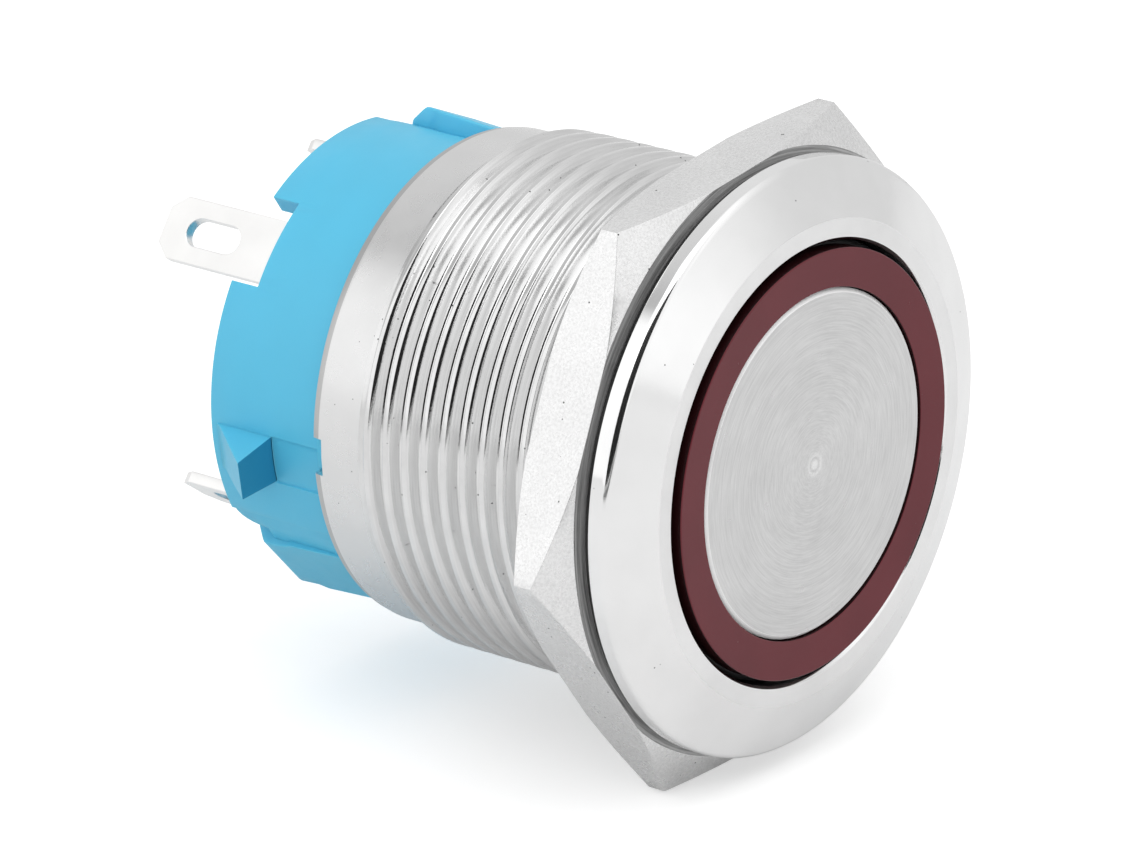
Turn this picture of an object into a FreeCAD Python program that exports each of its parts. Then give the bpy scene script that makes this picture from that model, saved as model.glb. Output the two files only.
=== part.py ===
# Panel pushbutton switch, momentary, with a lit ring round a metal button and five rear terminals.
# Millimetres. The switch's axis is Y: the button faces -Y and the terminals point to +Y, with Z up.
# The origin is on the axis, in the plane of the head's underside, which is drawn against a panel.
# Angles about the axis are counted from +X towards +Z, in degrees.

import FreeCAD
import Part
import os
import re

import Sketcher
from FreeCAD import Placement, Rotation, Vector

SIZES = [
    ("fit_gap", 0.08, "clearance of pieces that are fitted together"),
    ("seat_gap", 0.05, "clearance of faces that stop against each other"),
    ("moving_gap", 0.3, "clearance between pieces that pass each other"),
    ("thread_radius", 11.0, "crest of the M22 x 1 thread"),
    ("thread_pitch", 1.0, "pitch of the thread"),
    ("thread_flat", "=thread_pitch / 8", "flat of the thread's crests"),
    ("thread_depth", "=0.5413 * thread_pitch", "thread, from crest to root"),
    ("thread_front", 0.85, "middle of the thread's first groove"),
    ("thread_length", 12.85, "from the head's underside to the last crest"),
    ("thread_turns", "=round((thread_length - thread_front) / thread_pitch)", "grooves"),
    ("thread_runout", 0.3, "taper from the thread to the plain sleeve"),
    ("sleeve_step", 0.42, "drop from the thread's crest to the plain sleeve"),
    ("sleeve_radius", "=thread_radius - sleeve_step", "plain sleeve behind the thread"),
    ("sleeve_length", 2.35, "plain sleeve"),
    ("sleeve_edge", 0.15, "bevel at the rear edge of the sleeve"),
    ("sleeve_wall", 0.58, "wall of the plain sleeve"),
    ("barrel_length", "=thread_length + thread_runout + sleeve_length", "rear edge"),
    ("main_bore_radius", "=sleeve_radius - sleeve_wall", "bore behind the shoulder"),
    ("shoulder_width", 0.76, "shoulder that holds the light ring's flange"),
    ("front_bore_radius", "=main_bore_radius - shoulder_width", "bore in the flat front"),
    ("bore_edge", 0.12, "bevel at the mouth of the front bore"),
    ("face_width", 0.89, "flat front between the bore and the polished cone"),
    ("face_radius", "=front_bore_radius + face_width", "where the polished cone starts"),
    ("head_overhang", 1.5, "head outside the thread"),
    ("head_radius", "=thread_radius + head_overhang", "outside of the round head"),
    ("head_height", 2.0, "head, from its underside to the flat front"),
    ("cone_drop", 0.95, "depth of the polished cone"),
    ("rim_height", 0.75, "straight rim of the head"),
    ("rim_back_width", 0.2, "width of the rear bevel of the rim"),
    ("key_angle", 183.1, "place of the key notch round the sleeve"),
    ("key_width", 1.6, "width of the key notch"),
    ("key_depth", 0.5, "depth of the key notch along the axis"),
    ("key_height", 0.25, "height of the base's key in that notch"),
    ("gasket_width", 0.7, "panel gasket outside the thread"),
    ("gasket_radius", "=thread_radius + gasket_width", "outside of the panel gasket"),
    ("gasket_thickness", 0.2, "panel gasket, pressed"),
    ("nut_wall", 1.5, "nut outside the thread, at its flats"),
    ("nut_across_flats", "=2 * (thread_radius + nut_wall)", "hexagon of the nut"),
    ("nut_thickness", 2.65, "nut along the axis"),
    ("nut_angle", 7.4, "turn of the nut's corners"),
    ("nut_face_radius", "=nut_across_flats / 2 + 0.2", "where the bevel of the nut's corners starts"),
    ("nut_bevel", 28.0, "angle of the nut's bevels"),
    ("ring_gap", 0.3, "gap between the light ring and the front bore"),
    ("ring_proud", 0.2, "light ring, ahead of the flat front"),
    ("ring_edge", 0.08, "bevel at the light ring's edges"),
    ("ring_width", 1.45, "width of the light ring's front"),
    ("ring_inner_radius", "=front_bore_radius - ring_gap - ring_width", "inside of that front"),
    ("button_gap", 0.2, "gap between the light ring and the button"),
    ("button_radius", "=ring_inner_radius - button_gap", "outside of the metal button"),
    ("button_proud", 0.15, "middle of the button, ahead of the flat front"),
    ("button_bevel_width", 0.55, "bevel round the button"),
    ("button_bevel_drop", 0.13, "depth of that bevel"),
    ("button_depth", 1.05, "rear of the button's plate behind the flat front"),
    ("button_back", "=button_depth - head_height", "rear of the button's plate"),
    ("stud_radius", 2.0, "stud behind the button"),
    ("stud_grip", 1.2, "stud inside the plunger"),
    ("web_depth", 2.9, "rear of the light ring's web behind the flat front"),
    ("web_back", "=web_depth - head_height", "rear of the light ring's web"),
    ("seal_groove_depth", 0.56, "groove for the seal round the light ring"),
    ("seal_groove_inset", 0.6, "front of that groove behind the flat front"),
    ("seal_groove_front", "=seal_groove_inset - head_height", "front of that groove"),
    ("seal_wire", 0.82, "thickness of the seal rings"),
    ("travel", 2.5, "stroke of the button"),
    ("shoulder", "=seal_groove_front + seal_wire + travel + 3 * seat_gap",
     "rear of the front bore, so that the seal stays in it over the stroke"),
    ("ring_flange_radius", "=main_bore_radius - moving_gap", "flange that keeps the ring in"),
    ("ring_flange_thickness", 0.8, "that flange along the axis"),
    ("ring_skirt_radius", "=ring_flange_radius - ring_flange_thickness", "skirt behind it"),
    ("ring_skirt_wall", 1.0, "wall of the skirt"),
    ("ring_skirt_length", 0.45, "skirt behind the flange"),
    ("flange_front", "=shoulder + seat_gap", "front of the flange"),
    ("flange_back", "=flange_front + ring_flange_thickness", "rear of the flange"),
    ("skirt_back", "=flange_back + ring_skirt_length", "rear of the skirt"),
    ("chip_length", 1.6, "lamp and resistor chips"),
    ("chip_width", 0.9, "lamp and resistor chips"),
    ("chip_height", 0.7, "lamp and resistor chips"),
    ("lamp_count", 6, "lamp chips round the board"),
    ("board_radius", "=main_bore_radius - moving_gap", "outside of the lamp board"),
    ("board_hole_radius", 5.2, "hole in the lamp board"),
    ("board_thickness", 0.8, "lamp board"),
    ("board_front", "=skirt_back + travel + moving_gap + chip_height", "lamp board's front"),
    ("chip_ring_radius", "=board_radius - 1.4", "ring of the lamp chips"),
    ("plunger_radius", 4.7, "spring flange of the plunger"),
    ("plunger_flange", 1.8, "thickness of the spring flange"),
    ("spring_front", "=web_back + plunger_flange", "front of the return spring"),
    ("stop_radius", 3.5, "stop collar of the plunger"),
    ("stem_radius", 3.0, "stem of the plunger"),
    ("spigot_radius", 1.2, "spigot in the small spring"),
    ("spigot_length", 1.0, "spigot behind the stem"),
    ("frame_thickness", 1.3, "guide frame"),
    ("frame_collar_radius", 4.3, "guide frame's collar round the stem"),
    ("frame_collar_length", 0.8, "collar behind the guide frame"),
    ("frame_front", "=board_front + board_thickness", "front of the guide frame"),
    ("frame_back", "=frame_front + frame_thickness", "rear of the guide frame"),
    ("stem_end", "=frame_back + frame_collar_length", "rear end of the stem"),
    ("return_spring_radius", 4.2, "middle of the return spring's wire"),
    ("return_spring_wire", 0.45, "wire of the return spring"),
    ("return_spring_turns", 3.5, "turns of the return spring"),
    ("contact_spring_radius", 1.65, "middle of the contact spring's wire"),
    ("contact_spring_wire", 0.4, "wire of the contact spring"),
    ("contact_spring_turns", 4.5, "turns of the contact spring"),
    ("contact_spring_length", 4.58, "contact spring at rest"),
    ("lug_width", 2.8, "terminals, across"),
    ("lug_thickness", 0.5, "terminals"),
    ("blade_thickness", 0.3, "contact blade"),
    ("blade_width", 2.4, "contact blade"),
    ("blade_pivot", 5.5, "pivot of the blade, from the axis"),
    ("contact_reach", 4.4, "contacts, from the axis"),
    ("blade_end", 0.9, "blade beyond the middle of its rivet"),
    ("blade_reach", "=contact_reach + blade_end", "free end of the blade, from the axis"),
    ("contact_radius", 0.8, "contact rivets"),
    ("contact_height", 0.4, "contact rivets"),
    ("rivet_shank_radius", 0.45, "shank of the blade's rivet"),
    ("contact_gap", 1.25, "open gap between the contacts"),
    ("blade_front", "=stem_end + contact_spring_length", "front of the blade at rest"),
    ("blade_back", "=blade_front + blade_thickness", "rear of the blade at rest"),
    ("closed_face", "=blade_front - contact_height - seat_gap", "face of the closed contact"),
    ("closed_foot", "=closed_face - contact_height - lug_thickness", "foot that carries it"),
    ("open_face", "=blade_back + contact_height + contact_gap + 3 * seat_gap", "open contact"),
    ("open_foot", "=open_face + contact_height", "foot that carries it"),
    ("base_radius", "=main_bore_radius - fit_gap", "blue base"),
    ("base_wall", 1.22, "wall of the blue base"),
    ("base_wall_radius", "=base_radius - base_wall", "inside of the blue base"),
    ("base_floor", 1.5, "thickness of the base's floor"),
    ("floor_space", 1.25, "space between the open contact's foot and the floor"),
    ("floor_front", "=open_foot + lug_thickness + floor_space", "front of the base's floor"),
    ("floor_back", "=floor_front + base_floor", "rear of the base's floor"),
    ("base_rim", 1.4, "rim behind the base's floor"),
    ("base_length", "=floor_back + base_rim", "rear rim of the blue base"),
    ("rim_wall", 0.92, "wall of the rear rim"),
    ("rim_wall_radius", "=base_radius - rim_wall", "inside of the rear rim"),
    ("base_seal_inset", 1.63, "base's seal groove behind the guide frame"),
    ("base_seal_front", "=frame_back + base_seal_inset", "front of the base's seal groove"),
    ("base_seal_depth", 0.78, "depth of the base's seal groove"),
    ("rib_taper", 0.25, "loss of that height towards the sleeve"),
    ("rib_width", 21.0, "keying ribs, angle"),
    ("rib_nose_width", 18.8, "rear part of the keying ribs, angle"),
    ("rib_nose_length", 0.8, "that part ahead of the floor's rear"),
    ("rib_edge", 0.3, "bevel at the rear end of the keying ribs"),
    ("lower_rib_angle", 228.2, "place of the lower rib"),
    ("lower_rib_height", 0.33, "flat top of the lower rib at its rear, above the base"),
    ("lower_rib_back", "=base_length - 0.3", "rear end of the lower rib"),
    ("lower_relief_width", 39.0, "relief round the lower rib, angle"),
    ("lower_gap_width", 27.4, "gap in the rim at the lower rib, angle"),
    ("upper_rib_angle", 71.3, "place of the upper rib"),
    ("upper_rib_height", 0.65, "flat top of the upper rib at its rear, above the base"),
    ("upper_rib_back", "=floor_back + seat_gap", "rear end of the upper rib"),
    ("upper_relief_width", 52.4, "relief round the upper rib, angle"),
    ("upper_gap_width", 18.8, "gap in the rim at the upper rib, angle"),
    ("relief_depth", 0.14, "depth of the reliefs"),
    ("latch_angle", 189.5, "place of the latch"),
    ("latch_height", 2.08, "crest of the latch above the base"),
    ("latch_width", 2.06, "foot of the latch"),
    ("latch_crest_width", 1.72, "crest of the latch"),
    ("latch_length", 2.85, "latch along the axis"),
    ("latch_back", "=base_length - 0.35", "rear end of the latch's ramp"),
    ("latch_foot", "=latch_back - latch_length", "catch face of the latch"),
    ("channel_width", 12.4, "shallow channel ahead of the latch, angle"),
    ("channel_depth", 0.1, "depth of that channel"),
    ("lug_reach", 6.1, "terminals behind the base"),
    ("lug_back", "=base_length + lug_reach", "tips of the terminals"),
    ("lug_inset", 1.1, "outer terminals inside the base's wall"),
    ("lug_ring_radius", "=base_wall_radius - lug_inset", "middle of the outer terminals"),
    ("lug_corner_width", 0.62, "cut corners of the tips, across"),
    ("lug_corner_length", 0.68, "cut corners of the tips, along"),
    ("lug_slot_length", 2.85, "wire slot, end to end"),
    ("lug_slot_width", 1.25, "wire slot, across"),
    ("lug_slot_back", "=lug_back - 1.25", "rear end of the wire slot"),
    ("lamp_plus_angle", 145.0, "face of the lamp terminal beside the deep notch"),
    ("lamp_plus_shift", -1.35, "shift of that terminal along its face"),
    ("lamp_leg_width", 1.2, "inner leg of the lamp terminals"),
    ("lamp_leg_back", "=floor_front - 0.6", "where the lamp terminals narrow"),
    ("common_shift", 0.45, "shift of the common terminal along its face"),
    ("rim_notch_width", 3.95, "notch in the rear rim beside a lamp terminal"),
]


def add_sheet(doc):
    """The driving dimensions, one named cell each."""
    sheet = doc.addObject("Spreadsheet::Sheet", "Sizes")
    for row, (alias, value, note) in enumerate(SIZES, 1):
        sheet.set(f"A{row}", note)
        sheet.set(f"B{row}", str(value))
        sheet.setAlias(f"B{row}", alias)
    doc.recompute()
    return sheet


doc = FreeCAD.newDocument("pushbutton_switch")
sheet = add_sheet(doc)
ALIASES = {alias for alias, value, note in SIZES}
OVERRUN = 1.0
FULL_TURN = 360.0


def bound(text):
    """An expression on the sheet's cells, from one written with their bare names."""
    return re.sub(r"[a-z_]+", lambda word: cell_name(word.group()), text)


def cell_name(word):
    return f"Sizes.{word}" if word in ALIASES else word


def value(text):
    """The number that such an expression gives now."""
    return float(sheet.evalExpression(bound(text)))


def new_sketch(body, name, role):
    sketch = body.newObject("Sketcher::SketchObject", name)
    plane = next(f for f in body.Origin.OriginFeatures if f.Role == role)
    sketch.AttachmentSupport = [(plane, "")]
    sketch.MapMode = "FlatFace"
    return sketch


def hold_point(sketch, edge, end, name, x, y):
    """Ties one end of an edge to a place given by two expressions."""
    for kind, text, axis in (("DistanceX", x, -2), ("DistanceY", y, -1)):
        if text == "0":
            sketch.addConstraint(Sketcher.Constraint("PointOnObject", edge, end, axis))
            continue
        rule = Sketcher.Constraint(kind, -1, 1, edge, end, value(text))
        index = sketch.addConstraint(rule)
        sketch.renameConstraint(index, f"{name}_{kind}")
        sketch.setExpression(f"Constraints.{name}_{kind}", bound(text))


def outline(sketch, corners):
    """A closed outline of straight edges, each corner bound to the sheet."""
    points = [Vector(value(x), value(y), 0) for x, y in corners]
    count = len(points)
    for i in range(count):
        sketch.addGeometry(Part.LineSegment(points[i], points[(i + 1) % count]))
    for i in range(count):
        follower = (i + 1) % count
        sketch.addConstraint(Sketcher.Constraint("Coincident", i, 2, follower, 1))
    for i, (x, y) in enumerate(corners):
        hold_point(sketch, i, 1, f"corner{i}", x, y)


def turned(name, corners):
    """A turned piece: the outline of its half section, radius and place along Y."""
    body = doc.addObject("PartDesign::Body", name)
    sketch = new_sketch(body, f"{name}_section", "XY_Plane")
    outline(sketch, corners)
    turn = body.newObject("PartDesign::Revolution", f"{name}_turn")
    turn.Profile = sketch
    turn.ReferenceAxis = (sketch, ["V_Axis"])
    turn.Angle = FULL_TURN
    return body


def ring_of_wire(name, radius, wire, along):
    """A ring of round section, such as a seal."""
    body = doc.addObject("PartDesign::Body", name)
    sketch = new_sketch(body, f"{name}_section", "XY_Plane")
    round_section(sketch, radius, wire, along)
    turn = body.newObject("PartDesign::Revolution", f"{name}_turn")
    turn.Profile = sketch
    turn.ReferenceAxis = (sketch, ["V_Axis"])
    turn.Angle = FULL_TURN
    return body


def round_section(sketch, radius, wire, along):
    centre = Vector(value(radius), value(along), 0)
    sketch.addGeometry(Part.Circle(centre, Vector(0, 0, 1), value(wire) / 2))
    hold_point(sketch, 0, 3, "centre", radius, along)
    index = sketch.addConstraint(Sketcher.Constraint("Diameter", 0, value(wire)))
    sketch.renameConstraint(index, "wire")
    sketch.setExpression("Constraints.wire", bound(wire))


def coil(name, radius, wire, front, back, turns):
    """A round wire spring between two places along the axis."""
    body = doc.addObject("PartDesign::Body", name)
    sketch = new_sketch(body, f"{name}_section", "XY_Plane")
    round_section(sketch, radius, wire, f"{front} + {wire} / 2")
    wind = body.newObject("PartDesign::AdditiveHelix", f"{name}_wind")
    wind.Profile = sketch
    wind.ReferenceAxis = (sketch, ["V_Axis"])
    wind.Mode = "height-turns-angle"
    wind.setExpression("Height", bound(f"{back} - ({front}) - {wire}"))
    wind.setExpression("Turns", bound(turns))
    return body


def slab(name, corners, thickness, role="XY_Plane"):
    """An outline given thickness, half of it to each side of its plane."""
    body = doc.addObject("PartDesign::Body", name)
    sketch = new_sketch(body, f"{name}_outline", role)
    outline(sketch, corners)
    pad = body.newObject("PartDesign::Pad", f"{name}_pad")
    pad.Profile = sketch
    pad.SideType = "Symmetric"
    pad.setExpression("Length", bound(thickness))
    return body


def cylinder(name, radius, front, back, angle=None):
    """A cylinder about the axis, or a sector of it centred on an angle."""
    solid = doc.addObject("Part::Cylinder", name)
    solid.setExpression("Radius", bound(radius))
    solid.setExpression("Height", bound(f"{back} - ({front})"))
    start = 0.0
    if angle:
        centre, width = angle
        solid.setExpression("Angle", bound(width))
        start = -value(centre) - value(width) / 2
    upright = Rotation(Vector(1, 0, 0), -90).multiply(Rotation(Vector(0, 0, 1), start))
    solid.Placement = Placement(Vector(0, value(front), 0), upright)
    return solid


def band(name, inner, outer, front, back, angle):
    """A sector of a ring, centred on an angle."""
    whole = cylinder(f"{name}_whole", outer, front, back, angle)
    core = cylinder(f"{name}_core", inner, f"{front} - 1", f"{back} + 1")
    return cut(name, whole, core)


def block(name, length, width, height, place):
    """A box centred on its placement, with its width along the local Y."""
    solid = doc.addObject("Part::Box", name)
    solid.setExpression("Length", bound(length))
    solid.setExpression("Width", bound(width))
    solid.setExpression("Height", bound(height))
    corner = Vector(-value(length) / 2, -value(width) / 2, -value(height) / 2)
    solid.Placement = place.multiply(Placement(corner, Rotation()))
    return solid


def cut(name, base, tool):
    result = doc.addObject("Part::Cut", name)
    result.Base = base
    result.Tool = tool
    return result


def fuse(name, pieces):
    result = doc.addObject("Part::MultiFuse", name)
    result.Shapes = pieces
    return result


def common(name, base, tool):
    result = doc.addObject("Part::Common", name)
    result.Base = base
    result.Tool = tool
    return result


def spoke(angle, radius, along, shift=0.0):
    """Placement with local X pointing out at an angle, Y along the axis, Z round it."""
    turn = Rotation(Vector(0, 1, 0), -angle)
    return Placement(turn.multVec(Vector(radius, along, shift)), turn)


def facing(angle, radius, shift=0.0):
    """Placement with local X across a terminal's face, Y along the axis, Z inwards."""
    turn = Rotation(Vector(0, 1, 0), 270 - angle)
    return Placement(turn.multVec(Vector(shift, 0, -radius)), turn)


def finish(name, piece):
    """Names a finished piece and keeps it for the export."""
    piece.Label = name
    NODES[name] = piece
    return piece


NODES = {}


# Barrel: head, threaded body and plain sleeve, turned from one bar
def make_barrel():
    rim_back = "cone_drop + rim_height - head_height"
    body = turned("barrel_turned", [
        ("main_bore_radius", "barrel_length"),
        ("main_bore_radius", "shoulder"),
        ("front_bore_radius", "shoulder"),
        ("front_bore_radius", "bore_edge - head_height"),
        ("front_bore_radius + bore_edge", "-head_height"),
        ("face_radius", "-head_height"),
        ("head_radius", "cone_drop - head_height"),
        ("head_radius", rim_back),
        ("head_radius - rim_back_width", "0"),
        ("thread_radius", "0"),
        ("thread_radius", "thread_length"),
        ("sleeve_radius", "thread_length + thread_runout"),
        ("sleeve_radius", "barrel_length - sleeve_edge"),
        ("sleeve_radius - sleeve_edge", "barrel_length"),
    ])
    cut_thread(body)
    middle = value("barrel_length - key_depth / 2") + OVERRUN / 2
    place = spoke(value("key_angle"), value("sleeve_radius"), middle)
    tool = block("key_notch", "2 * sleeve_radius - 2 * main_bore_radius + 1",
                 "key_depth + 1", "key_width", place)
    return cut("barrel_cut", body, tool)


def cut_thread(body):
    """The thread as closed grooves of its true section, one to each pitch."""
    sketch = new_sketch(body, "thread_section", "XY_Plane")
    mouth = "thread_radius + thread_flat"
    half_mouth = "(thread_pitch - thread_flat) / 2 + thread_flat * tan(30)"
    root = "thread_radius - thread_depth"
    outline(sketch, [
        (mouth, f"thread_front - ({half_mouth})"),
        (root, "thread_front - thread_flat"),
        (root, "thread_front + thread_flat"),
        (mouth, f"thread_front + {half_mouth}"),
    ])
    groove = body.newObject("PartDesign::Groove", "thread_groove")
    groove.Profile = sketch
    groove.ReferenceAxis = (sketch, ["V_Axis"])
    groove.Angle = FULL_TURN
    rows = body.newObject("PartDesign::LinearPattern", "thread_rows")
    rows.Originals = [groove]
    rows.Direction = (sketch, ["V_Axis"])
    rows.setExpression("Length", bound("(thread_turns - 1) * thread_pitch"))
    rows.setExpression("Occurrences", bound("thread_turns"))
    body.Tip = rows


# Gasket between the head and the panel
def make_gasket():
    hole = "thread_radius + fit_gap"
    return turned("gasket_turned", [
        (hole, "0"),
        ("gasket_radius", "0"),
        ("gasket_radius", "gasket_thickness"),
        (hole, "gasket_thickness"),
    ])


# Thin hexagon nut, its corners bevelled on both sides
def make_nut():
    front = "gasket_thickness + seat_gap"
    back = f"{front} + nut_thickness"
    reach = "nut_across_flats * 0.6"
    drop = f"({reach} - nut_face_radius) * tan(nut_bevel)"
    hole = "thread_radius + fit_gap"
    blank = turned("nut_turned", [
        (hole, front),
        ("nut_face_radius", front),
        (reach, f"{front} + {drop}"),
        (reach, f"{back} - {drop}"),
        ("nut_face_radius", back),
        (hole, back),
    ])
    prism = doc.addObject("Part::Prism", "nut_hexagon")
    prism.Polygon = 6
    prism.setExpression("Circumradius", bound("nut_across_flats / 2 / cos(30)"))
    prism.setExpression("Height", bound("nut_thickness"))
    upright = Rotation(Vector(1, 0, 0), -90)
    turn = Rotation(Vector(0, 0, 1), -value("nut_angle"))
    prism.Placement = Placement(Vector(0, value(front), 0), upright.multiply(turn))
    return common("nut_common", prism, blank)


# Light ring: the clear moulding round and behind the metal button
def make_light_ring():
    outer = "front_bore_radius - ring_gap"
    front = "-head_height - ring_proud"
    groove = "seal_groove_front"
    groove_back = f"{groove} + seal_wire + seat_gap"
    skirt_inner = "ring_skirt_radius - ring_skirt_wall"
    stud_hole = "stud_radius + fit_gap"
    return turned("ring_turned", [
        ("ring_inner_radius", "button_back"),
        ("ring_inner_radius", f"{front} + ring_edge"),
        ("ring_inner_radius + ring_edge", front),
        (f"{outer} - ring_edge", front),
        (outer, f"{front} + ring_edge"),
        (outer, groove),
        (f"{outer} - seal_groove_depth", groove),
        (f"{outer} - seal_groove_depth", groove_back),
        (outer, groove_back),
        (outer, "flange_front"),
        ("ring_flange_radius", "flange_front"),
        ("ring_flange_radius", "flange_back"),
        ("ring_skirt_radius", "flange_back"),
        ("ring_skirt_radius", "skirt_back"),
        (skirt_inner, "skirt_back"),
        (skirt_inner, "web_back"),
        (stud_hole, "web_back"),
        (stud_hole, "button_back"),
    ])


# Seal between the light ring and the front bore
def make_ring_seal():
    groove_floor = "front_bore_radius - ring_gap - seal_groove_depth"
    middle = f"({groove_floor} + front_bore_radius) / 2"
    along = "seal_groove_front + (seal_wire + seat_gap) / 2"
    return ring_of_wire("ring_seal_turned", middle, "seal_wire", along)


# Metal button with its stud
def make_button():
    front = "-head_height - button_proud"
    return turned("button_turned", [
        ("0", front),
        ("button_radius - button_bevel_width", front),
        ("button_radius", f"{front} + button_bevel_drop"),
        ("button_radius", "button_back"),
        ("stud_radius", "button_back"),
        ("stud_radius", "web_back + stud_grip"),
        ("0", "web_back + stud_grip"),
    ])


# Plunger: spring flange, stop collar, guided stem and spigot
def make_plunger():
    stop = "frame_front - seat_gap - travel"
    socket = "web_back + stud_grip + seat_gap"
    return turned("plunger_turned", [
        ("0", socket),
        ("stud_radius + seat_gap", socket),
        ("stud_radius + seat_gap", "web_back"),
        ("plunger_radius", "web_back"),
        ("plunger_radius", "spring_front"),
        ("stop_radius", "spring_front"),
        ("stop_radius", stop),
        ("stem_radius", stop),
        ("stem_radius", "stem_end"),
        ("spigot_radius", "stem_end"),
        ("spigot_radius", "stem_end + spigot_length"),
        ("0", "stem_end + spigot_length"),
    ])


# Lamp board: a ring behind the light ring, with its lamp chips and a resistor
def make_board():
    return turned("board_turned", [
        ("board_hole_radius", "board_front"),
        ("board_radius", "board_front"),
        ("board_radius", "frame_front"),
        ("board_hole_radius", "frame_front"),
    ])


def make_chip(name, angle, radius):
    along = value("board_front - chip_height / 2")
    place = spoke(angle, radius, along)
    return block(name, "chip_width", "chip_height", "chip_length", place)


def make_lamps():
    count = int(value("lamp_count"))
    step = FULL_TURN / count
    chips = [make_chip(f"lamp{i}", i * step, value("chip_ring_radius"))
             for i in range(count)]
    group = doc.addObject("Part::Compound", "lamp_group")
    group.Links = chips
    return group


def make_resistor():
    step = FULL_TURN / value("lamp_count")
    return make_chip("resistor_chip", step / 2, value("(board_radius + board_hole_radius) / 2"))


# Guide frame: carries the lamp board and guides the stem
def make_frame():
    hole = "stem_radius + fit_gap"
    plate = turned("frame_turned", [
        (hole, "frame_front"),
        ("base_radius", "frame_front"),
        ("base_radius", "frame_back"),
        ("frame_collar_radius", "frame_back"),
        ("frame_collar_radius", "frame_back + frame_collar_length"),
        (hole, "frame_back + frame_collar_length"),
    ])
    slots = [leg_slot(f"leg_slot{i}", angle) for i, angle in enumerate(lamp_angles())]
    return cut("frame_cut", plate, fuse("leg_slots", slots))


def lamp_angles():
    first = value("lamp_plus_angle")
    return first, first + FULL_TURN / 2


def leg_slot(name, angle):
    middle = value("frame_front + frame_thickness / 2")
    place = facing(angle, value("lug_ring_radius"), value("lamp_plus_shift"))
    place = place.multiply(Placement(Vector(0, middle, 0), Rotation()))
    return block(name, "lamp_leg_width + 2 * fit_gap", "frame_thickness + 2",
                 "lug_thickness + 2 * fit_gap", place)


# Base: the blue moulding that closes the barrel and carries the terminals
def make_base():
    groove_back = "base_seal_front + seal_wire + seat_gap"
    groove_floor = "base_radius - base_seal_depth"
    cup = turned("base_turned", [
        ("base_wall_radius", "frame_back"),
        ("base_radius", "frame_back"),
        ("base_radius", "base_seal_front"),
        (groove_floor, "base_seal_front"),
        (groove_floor, groove_back),
        ("base_radius", groove_back),
        ("base_radius", "base_length"),
        ("rim_wall_radius", "base_length"),
        ("rim_wall_radius", "floor_back"),
        ("0", "floor_back"),
        ("0", "floor_front"),
        ("base_wall_radius", "floor_front"),
    ])
    tools = [make_channel()]
    for side in ("lower", "upper"):
        angle = f"{side}_rib_angle"
        tools.append(band(f"{side}_relie", "base_radius - relief_depth", "base_radius + 1",
                          "barrel_length", "base_length + 1", (angle, f"{side}_relief_width")))
        tools.append(band(f"{side}_gap", "rim_wall_radius - 1", "base_radius + 1",
                          "floor_back", "base_length + 1", (angle, f"{side}_gap_width")))
    for i, angle in enumerate(lamp_angles()):
        tools.append(rim_notch(f"rim_notch{i}", angle))
    for name, angle, radius, shift in terminals():
        tools.append(floor_slot(f"{name}_slot", angle, radius, shift))
    shell = cut("base_cut", cup, fuse("base_tools", tools))
    raised = [make_rib("lower"), make_rib("upper"), make_latch(), make_key()]
    return fuse("base_fused", [shell] + raised)


def make_rib(side):
    """A keying rib whose flat top slopes down to the sleeve, with a narrower nose at its rear."""
    front, back = "barrel_length + seat_gap", f"{side}_rib_back"
    top = f"base_radius + {side}_rib_height"
    reach = f"base_radius + 2 * {side}_rib_height"
    angle, nose = f"{side}_rib_angle", "floor_back - rib_nose_length"
    ring = turned(f"{side}_rib_turned", [
        ("rim_wall_radius", front),
        (reach, front),
        (reach, back),
        ("rim_wall_radius", back),
    ])
    sector = fuse(f"{side}_rib_sectors", [
        cylinder(f"{side}_rib_body", f"{reach} + 1", "barrel_length", nose, (angle, "rib_width")),
        cylinder(f"{side}_rib_nose", f"{reach} + 1", nose, "base_length", (angle, "rib_nose_width")),
    ])
    flat = slab(f"{side}_rib_flat", [
        ("rim_wall_radius / 2", "barrel_length"),
        (f"{top} - rib_taper", "barrel_length"),
        (top, f"{back} - 2 * rib_edge"),
        (f"{top} - rib_edge", back),
        (f"{top} - rib_edge", "2 * base_length"),
        ("rim_wall_radius / 2", "2 * base_length"),
    ], "2 * base_radius")
    flat.Placement = spoke(value(angle), 0, 0)
    return common(f"{side}_rib", common(f"{side}_rib_sides", ring, sector), flat)


def make_channel():
    """The shallow channel from the sleeve to the latch's catch face."""
    return band("channel", "base_radius - channel_depth", "base_radius + 1", "barrel_length",
                "latch_foot", ("latch_angle", "channel_width"))


def rim_notch(name, angle):
    depth = value("base_rim")
    place = facing(angle, value("base_radius"), value("lamp_plus_shift"))
    along = value("floor_back") + (depth + OVERRUN) / 2
    place = place.multiply(Placement(Vector(0, along, 0), Rotation()))
    return block(name, "rim_notch_width", "base_rim + 1", "4 * rim_wall", place)


def floor_slot(name, angle, radius, shift):
    along = value("floor_back - base_floor / 2")
    place = facing(angle, radius, shift)
    place = place.multiply(Placement(Vector(0, along, 0), Rotation()))
    return block(name, "lug_width + 2 * fit_gap", "base_floor + 2",
                 "lug_thickness + 2 * fit_gap", place)


def make_key():
    """Key of the base in the notch of the sleeve."""
    middle = value("barrel_length - key_depth / 2") + value("fit_gap")
    place = spoke(value("key_angle"), value("base_radius + key_height / 2 - fit_gap"), middle)
    return block("base_key", "key_height + 2 * fit_gap", "key_depth",
                 "key_width - 2 * fit_gap", place)


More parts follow.
